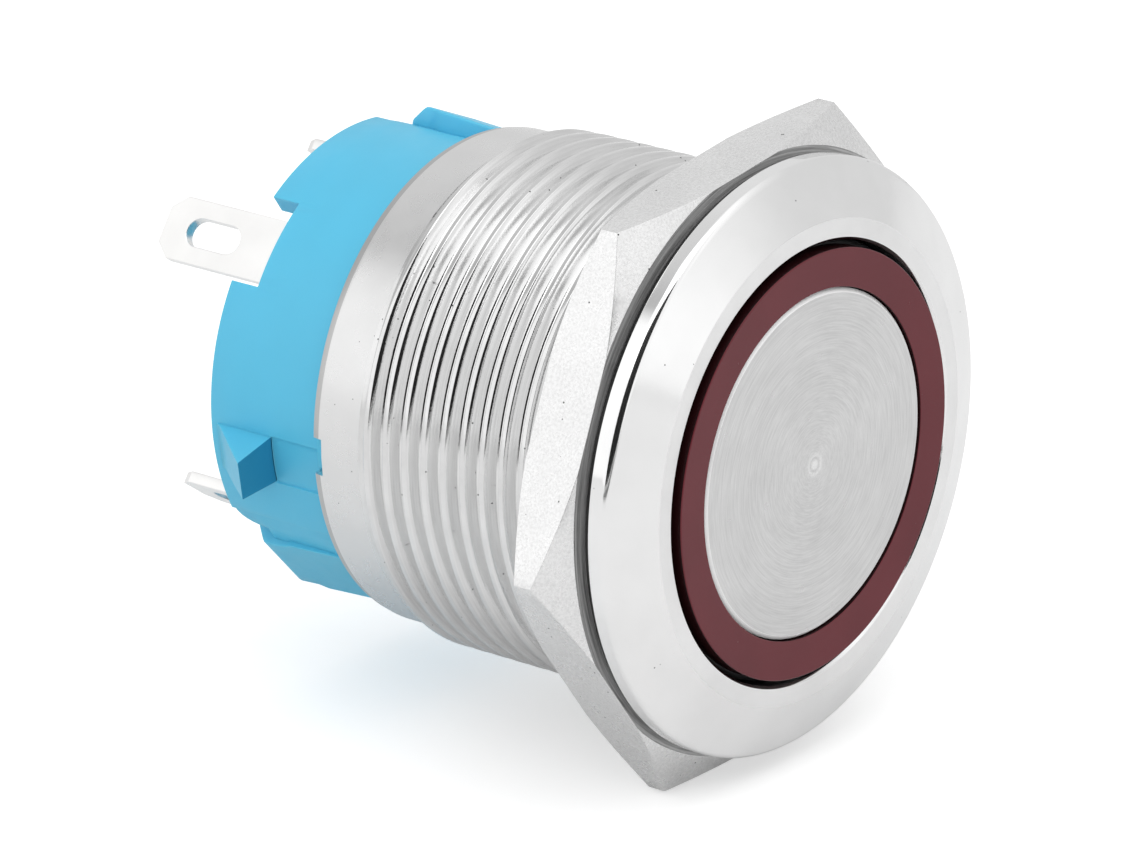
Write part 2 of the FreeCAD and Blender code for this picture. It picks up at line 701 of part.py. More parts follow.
def make_latch():
    """A wedge with a square catch face in front and a straight ramp from behind."""
    root = "base_radius - 4 * fit_gap"
    crest = "base_radius + latch_height"
    across = slab("latch_across", [
        (root, "latch_width / 2"),
        (crest, "latch_crest_width / 2"),
        (crest, "-latch_crest_width / 2"),
        (root, "-latch_width / 2"),
    ], "2 * base_length", "XZ_Plane")
    overlap = "4 * fit_gap * latch_length / latch_height"
    along = slab("latch_along", [
        (root, "latch_foot"),
        (crest, "latch_foot"),
        (root, f"latch_back + {overlap}"),
    ], "4 * latch_width")
    wedge = common("latch", across, along)
    wedge.Placement = spoke(value("latch_angle"), 0, 0)
    return wedge


# Seal between the base and the barrel
def make_base_seal():
    middle = "(base_radius - base_seal_depth + main_bore_radius) / 2"
    along = "base_seal_front + (seal_wire + seat_gap) / 2"
    return ring_of_wire("base_seal_turned", middle, "seal_wire", along)


# Terminals: flat lugs with a wire slot and cut corners
def terminals():
    """Name, facing angle, distance from the axis and shift along the face."""
    plus, minus = lamp_angles()
    common_angle = plus + 90
    ring = value("lug_ring_radius")
    shift = value("lamp_plus_shift")
    return [
        ("lug_lamp_plus", plus, ring, shift),
        ("lug_lamp_minus", minus, ring, shift),
        ("lug_common", common_angle, ring, value("common_shift")),
        ("lug_closed", common_angle + 180, ring, 0.0),
        ("lug_open", common_angle, 0.0, 0.0),
    ]


def tip(width):
    half = f"{width} / 2"
    return [
        (half, "lug_back - lug_corner_length"),
        (f"{half} - lug_corner_width", "lug_back"),
        (f"lug_corner_width - {half}", "lug_back"),
        (f"-{half}", "lug_back - lug_corner_length"),
    ]


def lug_slot(name, place):
    """The rounded slot for the wire, as a cutting tool."""
    front = value("lug_slot_back - lug_slot_length + lug_slot_width / 2")
    back = value("lug_slot_back - lug_slot_width / 2")
    middle = (front + back) / 2
    pieces = []
    for i, along in enumerate((front, back)):
        end = doc.addObject("Part::Cylinder", f"{name}_end{i}")
        end.setExpression("Radius", bound("lug_slot_width / 2"))
        end.setExpression("Height", bound("4 * lug_thickness"))
        foot = Vector(0, along, -value("2 * lug_thickness"))
        end.Placement = place.multiply(Placement(foot, Rotation()))
        pieces.append(end)
    centre = place.multiply(Placement(Vector(0, middle, 0), Rotation()))
    pieces.append(block(f"{name}_middle", "lug_slot_width", "lug_slot_length - lug_slot_width",
                        "4 * lug_thickness", centre))
    return fuse(name, pieces)


def make_contact_lug(name, angle, radius, shift, front, reach):
    """A terminal with an inner foot that reaches towards a contact or the pivot."""
    place = facing(angle, radius, shift)
    tab = slab(f"{name}_tab", [("-lug_width / 2", front), ("lug_width / 2", front)]
               + tip("lug_width"), "lug_thickness")
    tab.Placement = place
    slotted = cut(f"{name}_slotted", tab, lug_slot(f"{name}_hole", place))
    straight = facing(angle, radius)
    middle = Vector(0, value(f"{front} + lug_thickness / 2"),
                    value(f"({reach}) / 2 - lug_thickness / 4"))
    foot_place = straight.multiply(Placement(middle, Rotation()))
    foot = block(f"{name}_foot", "blade_width", "lug_thickness",
                 f"{reach} + lug_thickness / 2", foot_place)
    return fuse(f"{name}_fused", [slotted, foot])


def make_lamp_lug(name, angle, radius, shift):
    """A terminal with a slim inner leg up to the lamp board."""
    leg = "lamp_leg_width / 2"
    place = facing(angle, radius, shift)
    tab = slab(f"{name}_tab", [
        (f"-{leg}", "frame_front"),
        (leg, "frame_front"),
        (leg, "lamp_leg_back"),
        ("lug_width / 2", "lamp_leg_back"),
        *tip("lug_width"),
        ("-lug_width / 2", "lamp_leg_back"),
        (f"-{leg}", "lamp_leg_back"),
    ], "lug_thickness")
    tab.Placement = place
    return cut(f"{name}_slotted", tab, lug_slot(f"{name}_hole", place))


def make_lugs():
    feet = {
        "lug_common": ("blade_back + seat_gap", "lug_ring_radius - blade_pivot + 4 * seat_gap"),
        "lug_closed": ("closed_foot", "lug_ring_radius - contact_reach + 1.2 * contact_radius"),
        "lug_open": ("open_foot", "contact_reach + 1.2 * contact_radius"),
    }
    for name, angle, radius, shift in terminals():
        if name in feet:
            front, reach = feet[name]
            piece = make_contact_lug(name, angle, radius, shift, front, reach)
        else:
            piece = make_lamp_lug(name, angle, radius, shift)
        finish(name, piece)


def blade_direction():
    return value("lamp_plus_angle") - 90


# Changeover contact: a blade on the common foot between two fixed contacts
def make_blade():
    middle = value("(blade_reach - blade_pivot - 4 * seat_gap) / 2")
    along = value("blade_back - blade_thickness / 2")
    strip = block("blade_strip", "blade_reach + blade_pivot + 4 * seat_gap", "blade_thickness",
                  "blade_width", spoke(blade_direction(), middle, along))
    hole = rivet("blade_hole", [("rivet_shank_radius + seat_gap", "blade_front - 1", "blade_back + 1")])
    return cut("blade_cut", strip, hole)


def rivet(name, steps):
    """Stacked discs on the contact's own axis: radius, front and back of each."""
    discs = []
    for i, (radius, front, back) in enumerate(steps):
        disc = cylinder(f"{name}_disc{i}", radius, front, back)
        disc.Placement = spoke(blade_direction(), value("contact_reach"), 0).multiply(disc.Placement)
        discs.append(disc)
    return discs[0] if len(discs) == 1 else fuse(name, discs)


def make_contacts():
    finish("blade_contact", rivet("blade_rivet", [
        ("contact_radius", "blade_front - contact_height", "blade_front"),
        ("rivet_shank_radius", "blade_front", "blade_back"),
        ("contact_radius", "blade_back", "blade_back + contact_height"),
    ]))
    finish("closed_contact", rivet("closed_rivet", [
        ("contact_radius", "closed_face - contact_height", "closed_face"),
    ]))
    finish("open_contact", rivet("open_rivet", [
        ("contact_radius", "open_face", "open_face + contact_height"),
    ]))


# Springs
def make_springs():
    finish("return_spring", coil("return_coil", "return_spring_radius", "return_spring_wire",
                                 "spring_front", "frame_front", "return_spring_turns"))
    finish("contact_spring", coil("contact_coil", "contact_spring_radius", "contact_spring_wire",
                                  "stem_end", "blade_front", "contact_spring_turns"))


finish("barrel", make_barrel())
finish("panel_gasket", make_gasket())
finish("hex_nut", make_nut())
finish("light_ring", make_light_ring())
finish("ring_seal", make_ring_seal())
finish("button_cap", make_button())
finish("plunger", make_plunger())
finish("lamp_board", make_board())
finish("lamp_chips", make_lamps())
finish("resistor", make_resistor())
finish("guide_frame", make_frame())
finish("base", make_base())
finish("base_seal", make_base_seal())
make_lugs()
finish("contact_blade", make_blade())
make_contacts()
make_springs()
doc.recompute()


def check_and_export():
    """Stops on a failed feature or a bad shape, then writes each piece."""
    for item in doc.Objects:
        faults = {"Invalid", "Error"} & set(item.State)
        if faults:
            raise RuntimeError(f"{item.Name} is {item.State}")
    for name, piece in NODES.items():
        shape = piece.Shape
        if shape.isNull() or not shape.isValid() or not shape.Solids:
            raise RuntimeError(f"{name} has no valid shape")
    os.makedirs("parts", exist_ok=True)
    for name, piece in NODES.items():
        piece.Shape.exportStep(os.path.join("parts", f"{name}.step"))
        print(name, len(piece.Shape.Solids), round(piece.Shape.Volume, 2))


check_and_export()
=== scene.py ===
import math

import bmesh
import bpy
from mathutils import Matrix, Vector


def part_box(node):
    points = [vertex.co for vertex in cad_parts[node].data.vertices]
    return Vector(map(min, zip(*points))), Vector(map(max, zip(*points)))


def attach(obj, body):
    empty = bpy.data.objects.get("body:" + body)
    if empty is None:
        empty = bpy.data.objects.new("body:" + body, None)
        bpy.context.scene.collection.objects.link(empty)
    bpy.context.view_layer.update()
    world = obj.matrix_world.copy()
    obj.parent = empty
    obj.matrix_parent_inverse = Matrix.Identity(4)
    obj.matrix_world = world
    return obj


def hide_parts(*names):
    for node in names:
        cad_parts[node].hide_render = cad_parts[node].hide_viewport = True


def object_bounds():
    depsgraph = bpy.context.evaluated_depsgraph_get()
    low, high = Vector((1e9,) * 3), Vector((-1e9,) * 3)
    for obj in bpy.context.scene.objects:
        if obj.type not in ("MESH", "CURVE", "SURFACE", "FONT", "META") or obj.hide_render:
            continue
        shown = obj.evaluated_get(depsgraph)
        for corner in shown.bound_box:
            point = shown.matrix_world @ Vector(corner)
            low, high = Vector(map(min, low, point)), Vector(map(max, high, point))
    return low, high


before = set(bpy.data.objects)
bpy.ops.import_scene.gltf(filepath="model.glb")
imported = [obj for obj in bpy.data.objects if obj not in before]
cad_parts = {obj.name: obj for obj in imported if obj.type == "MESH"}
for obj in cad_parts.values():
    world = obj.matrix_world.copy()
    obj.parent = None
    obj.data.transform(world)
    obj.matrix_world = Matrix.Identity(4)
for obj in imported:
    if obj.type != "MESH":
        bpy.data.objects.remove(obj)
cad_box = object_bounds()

MM = 0.001
AROUND = 288
FILLET_STEPS = 5
FILLET_SHARE = 0.45
FILLET_HOLD = 0.02

# Mesh helpers


def link(name, verts, faces, sharp=30.0):
    """A new mesh object from points in millimetres, smooth except at sharp edges."""
    mesh = bpy.data.meshes.new(name)
    mesh.from_pydata([(x * MM, y * MM, z * MM) for x, y, z in verts], [], faces)
    mesh.validate()
    mesh.update()
    obj = bpy.data.objects.new(name, mesh)
    bpy.context.scene.collection.objects.link(obj)
    mesh.polygons.foreach_set("use_smooth", [True] * len(mesh.polygons))
    mesh.set_sharp_from_angle(angle=math.radians(sharp))
    return obj


def polar(radius, degrees, along):
    """A point at a radius and an angle round the axis, and a distance along it."""
    a = math.radians(degrees)
    return (radius * math.cos(a), along, radius * math.sin(a))


def rounded(points, closed=True):
    """A half section with its corners rounded: (radius, along, fillet) for each corner."""
    out = []
    count = len(points)
    for i, (r, y, fillet) in enumerate(points):
        here = Vector((r, y))
        if not closed and i in (0, count - 1) or not fillet:
            out.append(tuple(here))
            continue
        before = Vector(points[i - 1][:2]) - here
        after = Vector(points[(i + 1) % count][:2]) - here
        to_a, to_b = before.normalized(), after.normalized()
        half = to_a.angle(to_b) / 2
        room = FILLET_SHARE * min(before.length, after.length)
        reach = min(fillet / math.tan(half), room)
        size = reach * math.tan(half)
        centre = here + (to_a + to_b).normalized() * (size / math.sin(half))
        start, end = here + to_a * reach, here + to_b * reach
        if before.length > reach + 3 * FILLET_HOLD:
            out.append(tuple(start + to_a * FILLET_HOLD))
        a0 = math.atan2(*(start - centre).yx)
        sweep = math.atan2(*(end - centre).yx) - a0
        sweep = (sweep + math.pi) % (2 * math.pi) - math.pi
        for k in range(FILLET_STEPS + 1):
            a = a0 + sweep * k / FILLET_STEPS
            out.append((centre.x + size * math.cos(a), centre.y + size * math.sin(a)))
        if after.length > reach + 3 * FILLET_HOLD:
            out.append(tuple(end + to_b * FILLET_HOLD))
    return out


def grid(rows, around=True, ends=False):
    """Faces between rows of points; the rows close on themselves, and so may the stack."""
    n = len(rows[0])
    verts = [p for row in rows for p in row]
    faces = []
    last = len(rows) if ends else len(rows) - 1
    for i in range(last):
        a, b = i * n, (i + 1) % len(rows) * n
        for j in range(n if around else n - 1):
            k = (j + 1) % n
            faces.append((a + j, a + k, b + k, b + j))
    return verts, faces


def lathe(name, profile, closed=True):
    """Turns a half section about the axis; points on the axis become one."""
    verts, faces, rings = [], [], []
    for r, y in profile:
        if r < 1e-6:
            rings.append([len(verts)] * AROUND)
            verts.append((0, y, 0))
        else:
            rings.append(list(range(len(verts), len(verts) + AROUND)))
            verts += [polar(r, 360 * k / AROUND, y) for k in range(AROUND)]
    pairs = list(zip(rings, rings[1:]))
    if closed:
        pairs.append((rings[-1], rings[0]))
    for a, b in pairs:
        for j in range(AROUND):
            k = (j + 1) % AROUND
            face = []
            for v in (a[j], a[k], b[k], b[j]):
                if v not in face:
                    face.append(v)
            if len(face) > 2:
                faces.append(face)
    return link(name, verts, faces)


def radius_at_face(face):
    """A face's distance from the switch's axis, in millimetres."""
    return math.hypot(face.center.x, face.center.z) / MM


def join(name, objs):
    """Joins several meshes into the first."""
    bpy.ops.object.select_all(action="DESELECT")
    for o in objs:
        o.select_set(True)
    bpy.context.view_layer.objects.active = objs[0]
    bpy.ops.object.join()
    objs[0].name = name
    return objs[0]


def tidy_normals(obj):
    """Turns every face outwards."""
    bm = bmesh.new()
    bm.from_mesh(obj.data)
    bmesh.ops.recalc_face_normals(bm, faces=bm.faces)
    bm.to_mesh(obj.data)
    bm.free()


def bevel(obj, width, angle=30.0):
    """Rounds the sharp edges and keeps the flats flat."""
    mod = obj.modifiers.new("edges", "BEVEL")
    mod.width = width * MM
    mod.segments = 2
    mod.limit_method = "ANGLE"
    mod.angle_limit = math.radians(angle)
    mod.use_clamp_overlap = True
    mod.miter_outer = "MITER_ARC"
    flat = obj.modifiers.new("flats", "WEIGHTED_NORMAL")
    flat.keep_sharp = False
    flat.weight = 80
    bpy.ops.object.select_all(action="DESELECT")
    obj.select_set(True)
    bpy.context.view_layer.objects.active = obj
    for name in ("edges", "flats"):
        bpy.ops.object.modifier_apply(modifier=name)


# Materials

ARC_SPREAD = 0.25
PIT_GROUPS, PIT_THRESHOLD = 0.31, 0.6
PIT_COLOR = (0.05, 0.05, 0.05, 1)


def shader(name, **sockets):
    """A principled material; returns it with its node tree and shader."""
    mat = bpy.data.materials.new(name)
    mat.use_nodes = True
    tree = mat.node_tree
    bsdf = tree.nodes["Principled BSDF"]
    for key, value in sockets.items():
        bsdf.inputs[key.replace("_", " ")].default_value = value
    return mat, tree, bsdf


def node(tree, kind, **values):
    """A new node, with its properties and sockets set."""
    made = tree.nodes.new(kind)
    for key, value in values.items():
        if hasattr(made, key):
            setattr(made, key, value)
        else:
            made.inputs[key.replace("_", " ")].default_value = value
    return made


def coords(tree, scale=(1, 1, 1)):
    """Object coordinates in millimetres, stretched as asked."""
    place = node(tree, "ShaderNodeTexCoord")
    mapping = node(tree, "ShaderNodeMapping")
    mapping.inputs["Scale"].default_value = [1000 * s for s in scale]
    tree.links.new(place.outputs["Object"], mapping.inputs["Vector"])
    return mapping.outputs["Vector"]


def ramp(tree, source, stops):
    """A colour ramp with (position, shade or colour) stops."""
    made = node(tree, "ShaderNodeValToRGB")
    made.color_ramp.elements[0].position = stops[0][0]
    made.color_ramp.elements[1].position = stops[-1][0]
    for pos, _ in stops[1:-1]:
        made.color_ramp.elements.new(pos)
    for element, (_, c) in zip(made.color_ramp.elements, stops):
        element.color = (c, c, c, 1) if isinstance(c, (int, float)) else (*c, 1)
    tree.links.new(source, made.inputs["Fac"])
    return made.outputs["Color"]


def noise(tree, where, scale, detail=3.0, rough=0.5):
    """Noise of a given scale, per millimetre."""
    made = node(tree, "ShaderNodeTexNoise", Scale=scale, Detail=detail, Roughness=rough)
    tree.links.new(where, made.inputs["Vector"])
    return made.outputs["Fac"]


def radius_of(tree):
    """Distance from the switch's axis, in millimetres."""
    vec = coords(tree, (1, 0, 1))
    length = node(tree, "ShaderNodeVectorMath", operation="LENGTH")
    tree.links.new(vec, length.inputs[0])
    return length.outputs["Value"]


def rings(tree, scale):
    """Fine turning marks: noise that depends on the radius alone."""
    along = node(tree, "ShaderNodeCombineXYZ")
    tree.links.new(radius_of(tree), along.inputs["X"])
    made = node(tree, "ShaderNodeTexNoise", Scale=scale, Detail=8.0, Roughness=0.75)
    tree.links.new(along.outputs["Vector"], made.inputs["Vector"])
    return made.outputs["Fac"]


def arcs(tree, scale):
    """Broken turning marks: noise stretched round the axis."""
    flat = coords(tree, (1, 0, 1))
    heading = node(tree, "ShaderNodeVectorMath", operation="NORMALIZE")
    tree.links.new(flat, heading.inputs[0])
    wide = node(tree, "ShaderNodeVectorMath", operation="SCALE")
    wide.inputs["Scale"].default_value = ARC_SPREAD
    tree.links.new(heading.outputs["Vector"], wide.inputs[0])
    along = node(tree, "ShaderNodeCombineXYZ")
    tree.links.new(radius_of(tree), along.inputs["Y"])
    both = node(tree, "ShaderNodeVectorMath", operation="ADD")
    tree.links.new(wide.outputs["Vector"], both.inputs[0])
    tree.links.new(along.outputs["Vector"], both.inputs[1])
    made = node(tree, "ShaderNodeTexNoise", Scale=scale, Detail=6.0, Roughness=0.7)
    tree.links.new(both.outputs["Vector"], made.inputs["Vector"])
    return made.outputs["Fac"]


def math_node(tree, kind, a, b):
    """One sum of two values, each a number or an output."""
    made = node(tree, "ShaderNodeMath", operation=kind)
    for i, v in enumerate((a, b)):
        if isinstance(v, (int, float)):
            made.inputs[i].default_value = v
        else:
            tree.links.new(v, made.inputs[i])
    return made.outputs["Value"]


def spread(tree, source, low, high, start=0.0, end=1.0, soft=False):
    """Maps start to end onto low to high, with soft ends if asked."""
    made = node(tree, "ShaderNodeMapRange", interpolation_type="SMOOTHSTEP" if soft else "LINEAR")
    for key, value in (("From Min", start), ("From Max", end), ("To Min", low), ("To Max", high)):
        made.inputs[key].default_value = value
    tree.links.new(source, made.inputs["Value"])
    return made.outputs["Result"]


def bump(tree, bsdf, height, distance, after=None):
    """Relief of a given height in millimetres, on top of an earlier one."""
    made = node(tree, "ShaderNodeBump", Strength=1.0, Distance=distance * MM)
    tree.links.new(height, made.inputs["Height"])
    if after:
        tree.links.new(after, made.inputs["Normal"])
    tree.links.new(made.outputs["Normal"], bsdf.inputs["Normal"])
    return made.outputs["Normal"]


def pits(tree, scale, size):
    """Sparse small pits: 1 on the metal, 0 in a pit."""
    cells = node(tree, "ShaderNodeTexVoronoi", Scale=scale)
    tree.links.new(coords(tree), cells.inputs["Vector"])
    few = node(tree, "ShaderNodeTexNoise", Scale=scale * PIT_GROUPS, Detail=1.0)
    tree.links.new(coords(tree), few.inputs["Vector"])
    allow = math_node(tree, "GREATER_THAN", few.outputs["Fac"], PIT_THRESHOLD)
    near = math_node(tree, "LESS_THAN", cells.outputs["Distance"], size)
    return math_node(tree, "SUBTRACT", 1.0, math_node(tree, "MULTIPLY", near, allow))


def tinted(tree, tone, shade):
    """The tone multiplied by a shade."""
    made = node(tree, "ShaderNodeMix", data_type="RGBA", blend_type="MULTIPLY")
    made.inputs["Factor"].default_value = 1.0
    tree.links.new(tone, made.inputs["A"])
    tree.links.new(shade, made.inputs["B"])
    return made.outputs["Result"]


def metal(name, color, rough, marks=None, marks_depth=0.002, grain=0.0, pit=None, depth=None,
          stripes=None, speckle=None, pip=None, turned=0.0, metallic=1.0):
    """Metal with the marks of its making, and painted shade and highlights where asked.

    marks: scale of the turned rings in the surface, and marks_depth their height
    grain: height of the fine grain; pit: scale and size of the sparse pits
    depth: radius of the dark roots, of the bright crests, and the shade painted into the roots
    stripes, speckle: scale and darkest shade of tone round the axis, and in grains
    pip: shades by radius near the axis, a painted highlight at the centre with a painted dark ring;
    turned: stretch of the highlights
    """
    mat, tree, bsdf = shader(name, Metallic=metallic)
    if turned:
        bsdf.inputs["Anisotropic"].default_value = turned
        round_axis = node(tree, "ShaderNodeTangent", direction_type="RADIAL", axis="Y")
        tree.links.new(round_axis.outputs["Tangent"], bsdf.inputs["Tangent"])
    where = coords(tree)
    cloud = noise(tree, where, 0.35, 4.0)
    tone = ramp(tree, cloud, [(0.3, [c * 0.94 for c in color]), (0.7, color)])
    # painted shade: the tone darkens towards the roots
    if depth:
        low, high, dark = depth
        tone = tinted(tree, tone, spread(tree, radius_of(tree), dark, 1.0, low, high, soft=True))
    if stripes:
        scale, dark = stripes
        tone = tinted(tree, tone, ramp(tree, arcs(tree, scale), [(0.36, dark), (0.62, 1.0)]))
    # painted highlight: brighter at the pip, with a darker ring round it
    if pip:
        tone = tinted(tree, tone, ramp(tree, radius_of(tree), pip))
    if speckle:
        scale, dark = speckle
        grains = noise(tree, where, scale, 5.0, 0.7)
        tone = tinted(tree, tone, ramp(tree, grains, [(0.34, dark), (0.6, 1.0)]))
    if pit:
        mix = node(tree, "ShaderNodeMix", data_type="RGBA")
        mix.inputs["A"].default_value = PIT_COLOR
        tree.links.new(pits(tree, *pit), mix.inputs["Factor"])
        tree.links.new(tone, mix.inputs["B"])
        tone = mix.outputs["Result"]
    tree.links.new(tone, bsdf.inputs["Base Color"])
    patches = noise(tree, where, 1.1, 5.0)
    tree.links.new(spread(tree, patches, rough * 0.75, rough * 1.3), bsdf.inputs["Roughness"])
    after = None
    if marks:
        after = bump(tree, bsdf, rings(tree, marks), marks_depth)
    if grain:
        after = bump(tree, bsdf, noise(tree, where, 9.0, 6.0, 0.7), grain, after=after)
    return mat


def plain(name, color, rough, grain=0.004, scale=6.0, metallic=0.0, tint=0.93, **more):
    """Moulded or rolled stuff with slight changes of tone and a fine surface."""
    mat, tree, bsdf = shader(name, Metallic=metallic, **more)
    where = coords(tree)
    cloud = noise(tree, where, 0.25, 4.0)
    tone = ramp(tree, cloud, [(0.3, [c * tint for c in color]), (0.7, color)])
    tree.links.new(tone, bsdf.inputs["Base Color"])
    patches = noise(tree, where, 1.5, 4.0)
    tree.links.new(spread(tree, patches, rough * 0.8, rough * 1.2), bsdf.inputs["Roughness"])
    bump(tree, bsdf, noise(tree, where, scale, 6.0, 0.6), grain)
    return mat


def srgb(r, g, b):
    """A colour from 0 to 255 in linear values."""
    def one(v):
        v /= 255
        return v / 12.92 if v <= 0.04045 else ((v + 0.055) / 1.055) ** 2.4
    return [one(r), one(g), one(b)]


HEAD = metal("polished_head", [0.93, 0.93, 0.93], 0.10, marks=14.0, marks_depth=0.0010,
             pit=(1.9, 0.06))
HEAD_FLAT = metal("turned_flat", [0.93, 0.93, 0.93], 0.34, marks=14.0, marks_depth=0.0012,
                  turned=0.85)
# Painted shade: the head's rear chamfer is near black for the shadow in the gap before the nut.
HEAD_REAR_SHADE = metal("painted_shade_head_rear", [0.07, 0.07, 0.07], 0.4)
SLEEVE = metal("plain_sleeve", [0.80, 0.80, 0.80], 0.28, grain=0.004, pit=(2.6, 0.07))
# Painted shade: the sleeve's rear chamfer and end, where it meets the base, are darker steel.
SLEEVE_REAR_SHADE = metal("painted_shade_sleeve_rear", [0.54, 0.54, 0.54], 0.34, grain=0.004)
# The thread's roots are painted darker for the shade in its grooves.
THREAD = metal("threaded_barrel", [0.86, 0.86, 0.86], 0.08, grain=0.003, pit=(2.6, 0.09),
               stripes=(12.0, 0.86), depth=(10.62, 10.97, 0.96))
NUT = metal("milled_nut", [0.92, 0.92, 0.92], 0.26, grain=0.010, pit=(2.6, 0.10),
            speckle=(9.0, 0.84))
NUT_FACE = metal("faced_nut", [0.66, 0.66, 0.66], 0.5, metallic=0.2, stripes=(9.0, 0.30))
# The button's pip shades paint a highlight at its centre; the rest of the face is painted darker.
BUTTON = metal("faced_button", [0.96, 0.96, 0.96], 0.30, marks=11.0, marks_depth=0.005,
               stripes=(13.0, 0.85), turned=0.75,
               pip=[(0.15, 1.0), (0.28, 0.76), (0.40, 0.94), (0.56, 0.80)])
# Painted highlight: the button's chamfer is a pale, nearly matt white so its edge shows bright.
BUTTON_EDGE_HIGHLIGHT = metal("button_edge_painted_highlight", [0.95, 0.95, 0.95], 0.4, metallic=0.2)
LUG = metal("plated_lug", [0.95, 0.945, 0.935], 0.32, grain=0.003)
# Painted shade: the light ring's side walls are near black, for their shadow in the gap.
RING_SHADED_SIDE = plain("ring_plastic_painted_shade", srgb(34, 10, 12), 0.35, grain=0.001, scale=3.0, tint=0.85,
                  Specular_IOR_Level=0.1)
RING = plain("ring_plastic", srgb(103, 38, 46), 0.25, grain=0.001, scale=3.0, tint=0.85,
             Specular_IOR_Level=0.25)
BLUE = plain("blue_plastic", srgb(84, 189, 224), 0.42, grain=0.003, tint=0.94,
             Subsurface_Weight=0.15, Subsurface_Radius=(0.5, 0.8, 1.0), Subsurface_Scale=0.0008)
# Painted shade: a darker blue for the latch's catch face.
SHADED_BLUE = plain("blue_plastic_painted_shade", srgb(36, 138, 180), 0.45, grain=0.003, tint=0.94)
SEAL = plain("seal_rubber", [0.02, 0.02, 0.022], 0.6, grain=0.006, scale=9.0, tint=0.7)
WHITE = plain("white_plastic", [0.78, 0.78, 0.75], 0.45)
BOARD = plain("board_laminate", [0.72, 0.75, 0.72], 0.4)
RESIN = plain("lamp_resin", [0.86, 0.78, 0.45], 0.2)
BLACK = plain("resistor_black", [0.03, 0.03, 0.035], 0.4)
BLADE = plain("blade_metal", [0.72, 0.45, 0.24], 0.3, metallic=1.0)
SILVER = plain("contact_silver", [0.86, 0.86, 0.84], 0.25, metallic=1.0)
WIRE = plain("spring_steel", [0.55, 0.55, 0.57], 0.3, metallic=1.0)

# Barrel

PITCH, CREST, ROOT = 1.0, 11.0, 10.45
THREAD_FRONT, THREAD_BACK = 0.35, 13.05
START_FADE, END_FADE = 0.5, 0.55
SLEEVE_R, SLEEVE_BORE, SLEEVE_BACK = 10.58, 10.0, 15.5
SLEEVE_CHAMFER = 15.14
KEY_ANGLE, NOTCH_SPAN = 183.1, 0.8
HEAD_R, HEAD_FRONT, HEAD_BORE = 12.5, -2.0, 9.24
CONE_FRONT_R, CONE_BACK = 10.13, -1.05
RIM_BACK, RIM_BACK_R, UNDER_R = -0.3, 12.3, 12.0


def thread():
    """The M22 x 1 helix, fading out at both ends."""
    section = [(0.0, 1.0), (0.055, 1.0), (0.075, 0.985), (0.16, 0.70), (0.25, 0.40), (0.34, 0.12),
               (0.40, 0.02), (0.47, 0.0), (0.54, 0.02), (0.60, 0.12), (0.69, 0.40),
               (0.78, 0.70), (0.865, 0.985), (0.885, 1.0), (0.94, 1.0)]
    n = len(section)
    turns = int((THREAD_BACK - THREAD_FRONT) / PITCH) + 3
    rows = []
    for k in range(AROUND + 1):
        degrees = 360 * k / AROUND
        row = []
        for t in range(turns * n + 1):
            u, h = section[t % n]
            y = THREAD_FRONT - 1 + PITCH * (t // n + u - degrees / 360 + 0.5)
            fade = min(1.0, max(0.0, (THREAD_BACK - y) / END_FADE))
            fade = min(fade, max(0.0, (y - THREAD_FRONT) / START_FADE))
            base = ROOT + (SLEEVE_R - ROOT) * min(1.0, max(0.0, (y - THREAD_BACK + 1.3) / 0.9))
            radius = base + (CREST - base) * h * fade
            row.append(polar(radius, degrees, min(THREAD_BACK, max(THREAD_FRONT, y))))
        rows.append(row)
    verts, faces = grid(rows, around=False)
    obj = link("thread", verts, faces, sharp=50)
    bm = bmesh.new()
    bm.from_mesh(obj.data)
    bmesh.ops.remove_doubles(bm, verts=bm.verts, dist=2e-6)
    bmesh.ops.dissolve_degenerate(bm, edges=bm.edges, dist=1e-7)
    bm.to_mesh(obj.data)
    bm.free()
    return obj


def make_sleeve():
    """The plain sleeve: wall cells between breaks, one of them notched for the key."""
    half = math.degrees(NOTCH_SPAN / SLEEVE_R)
    notch = (KEY_ANGLE - half, KEY_ANGLE + half)
    around = [a for a in (360 * k / AROUND for k in range(AROUND))
              if not notch[0] - 0.6 < a < notch[1] + 0.6]
    around = sorted(around + [notch[0], KEY_ANGLE, notch[1]])
    section = [(SLEEVE_BORE, 1.0), (SLEEVE_BORE, 15.0), (SLEEVE_BORE, 15.44), (10.06, SLEEVE_BACK),
               (10.44, SLEEVE_BACK), (10.52, 15.44), (SLEEVE_R, SLEEVE_CHAMFER), (SLEEVE_R, 15.0),
               (SLEEVE_R, THREAD_BACK - 0.3), (10.40, THREAD_BACK - 0.3)]
    rear = range(1, 7)
    verts = [polar(r, a, y) for a in around for r, y in section]
    n, faces = len(section), []
    for i, a in enumerate(around):
        j = (i + 1) % len(around)
        cut = notch[0] - 1e-6 <= a < notch[1] - 1e-6
        for k in range(n - 1):
            if cut and k in rear:
                continue
            faces.append((i * n + k, i * n + k + 1, j * n + k + 1, j * n + k))
        if cut:
            faces.append((i * n + 1, i * n + 7, j * n + 7, j * n + 1))
    for side in notch:
        i = around.index(side)
        faces.append([i * n + k for k in range(1, 8)])
    return link("sleeve", verts, faces)


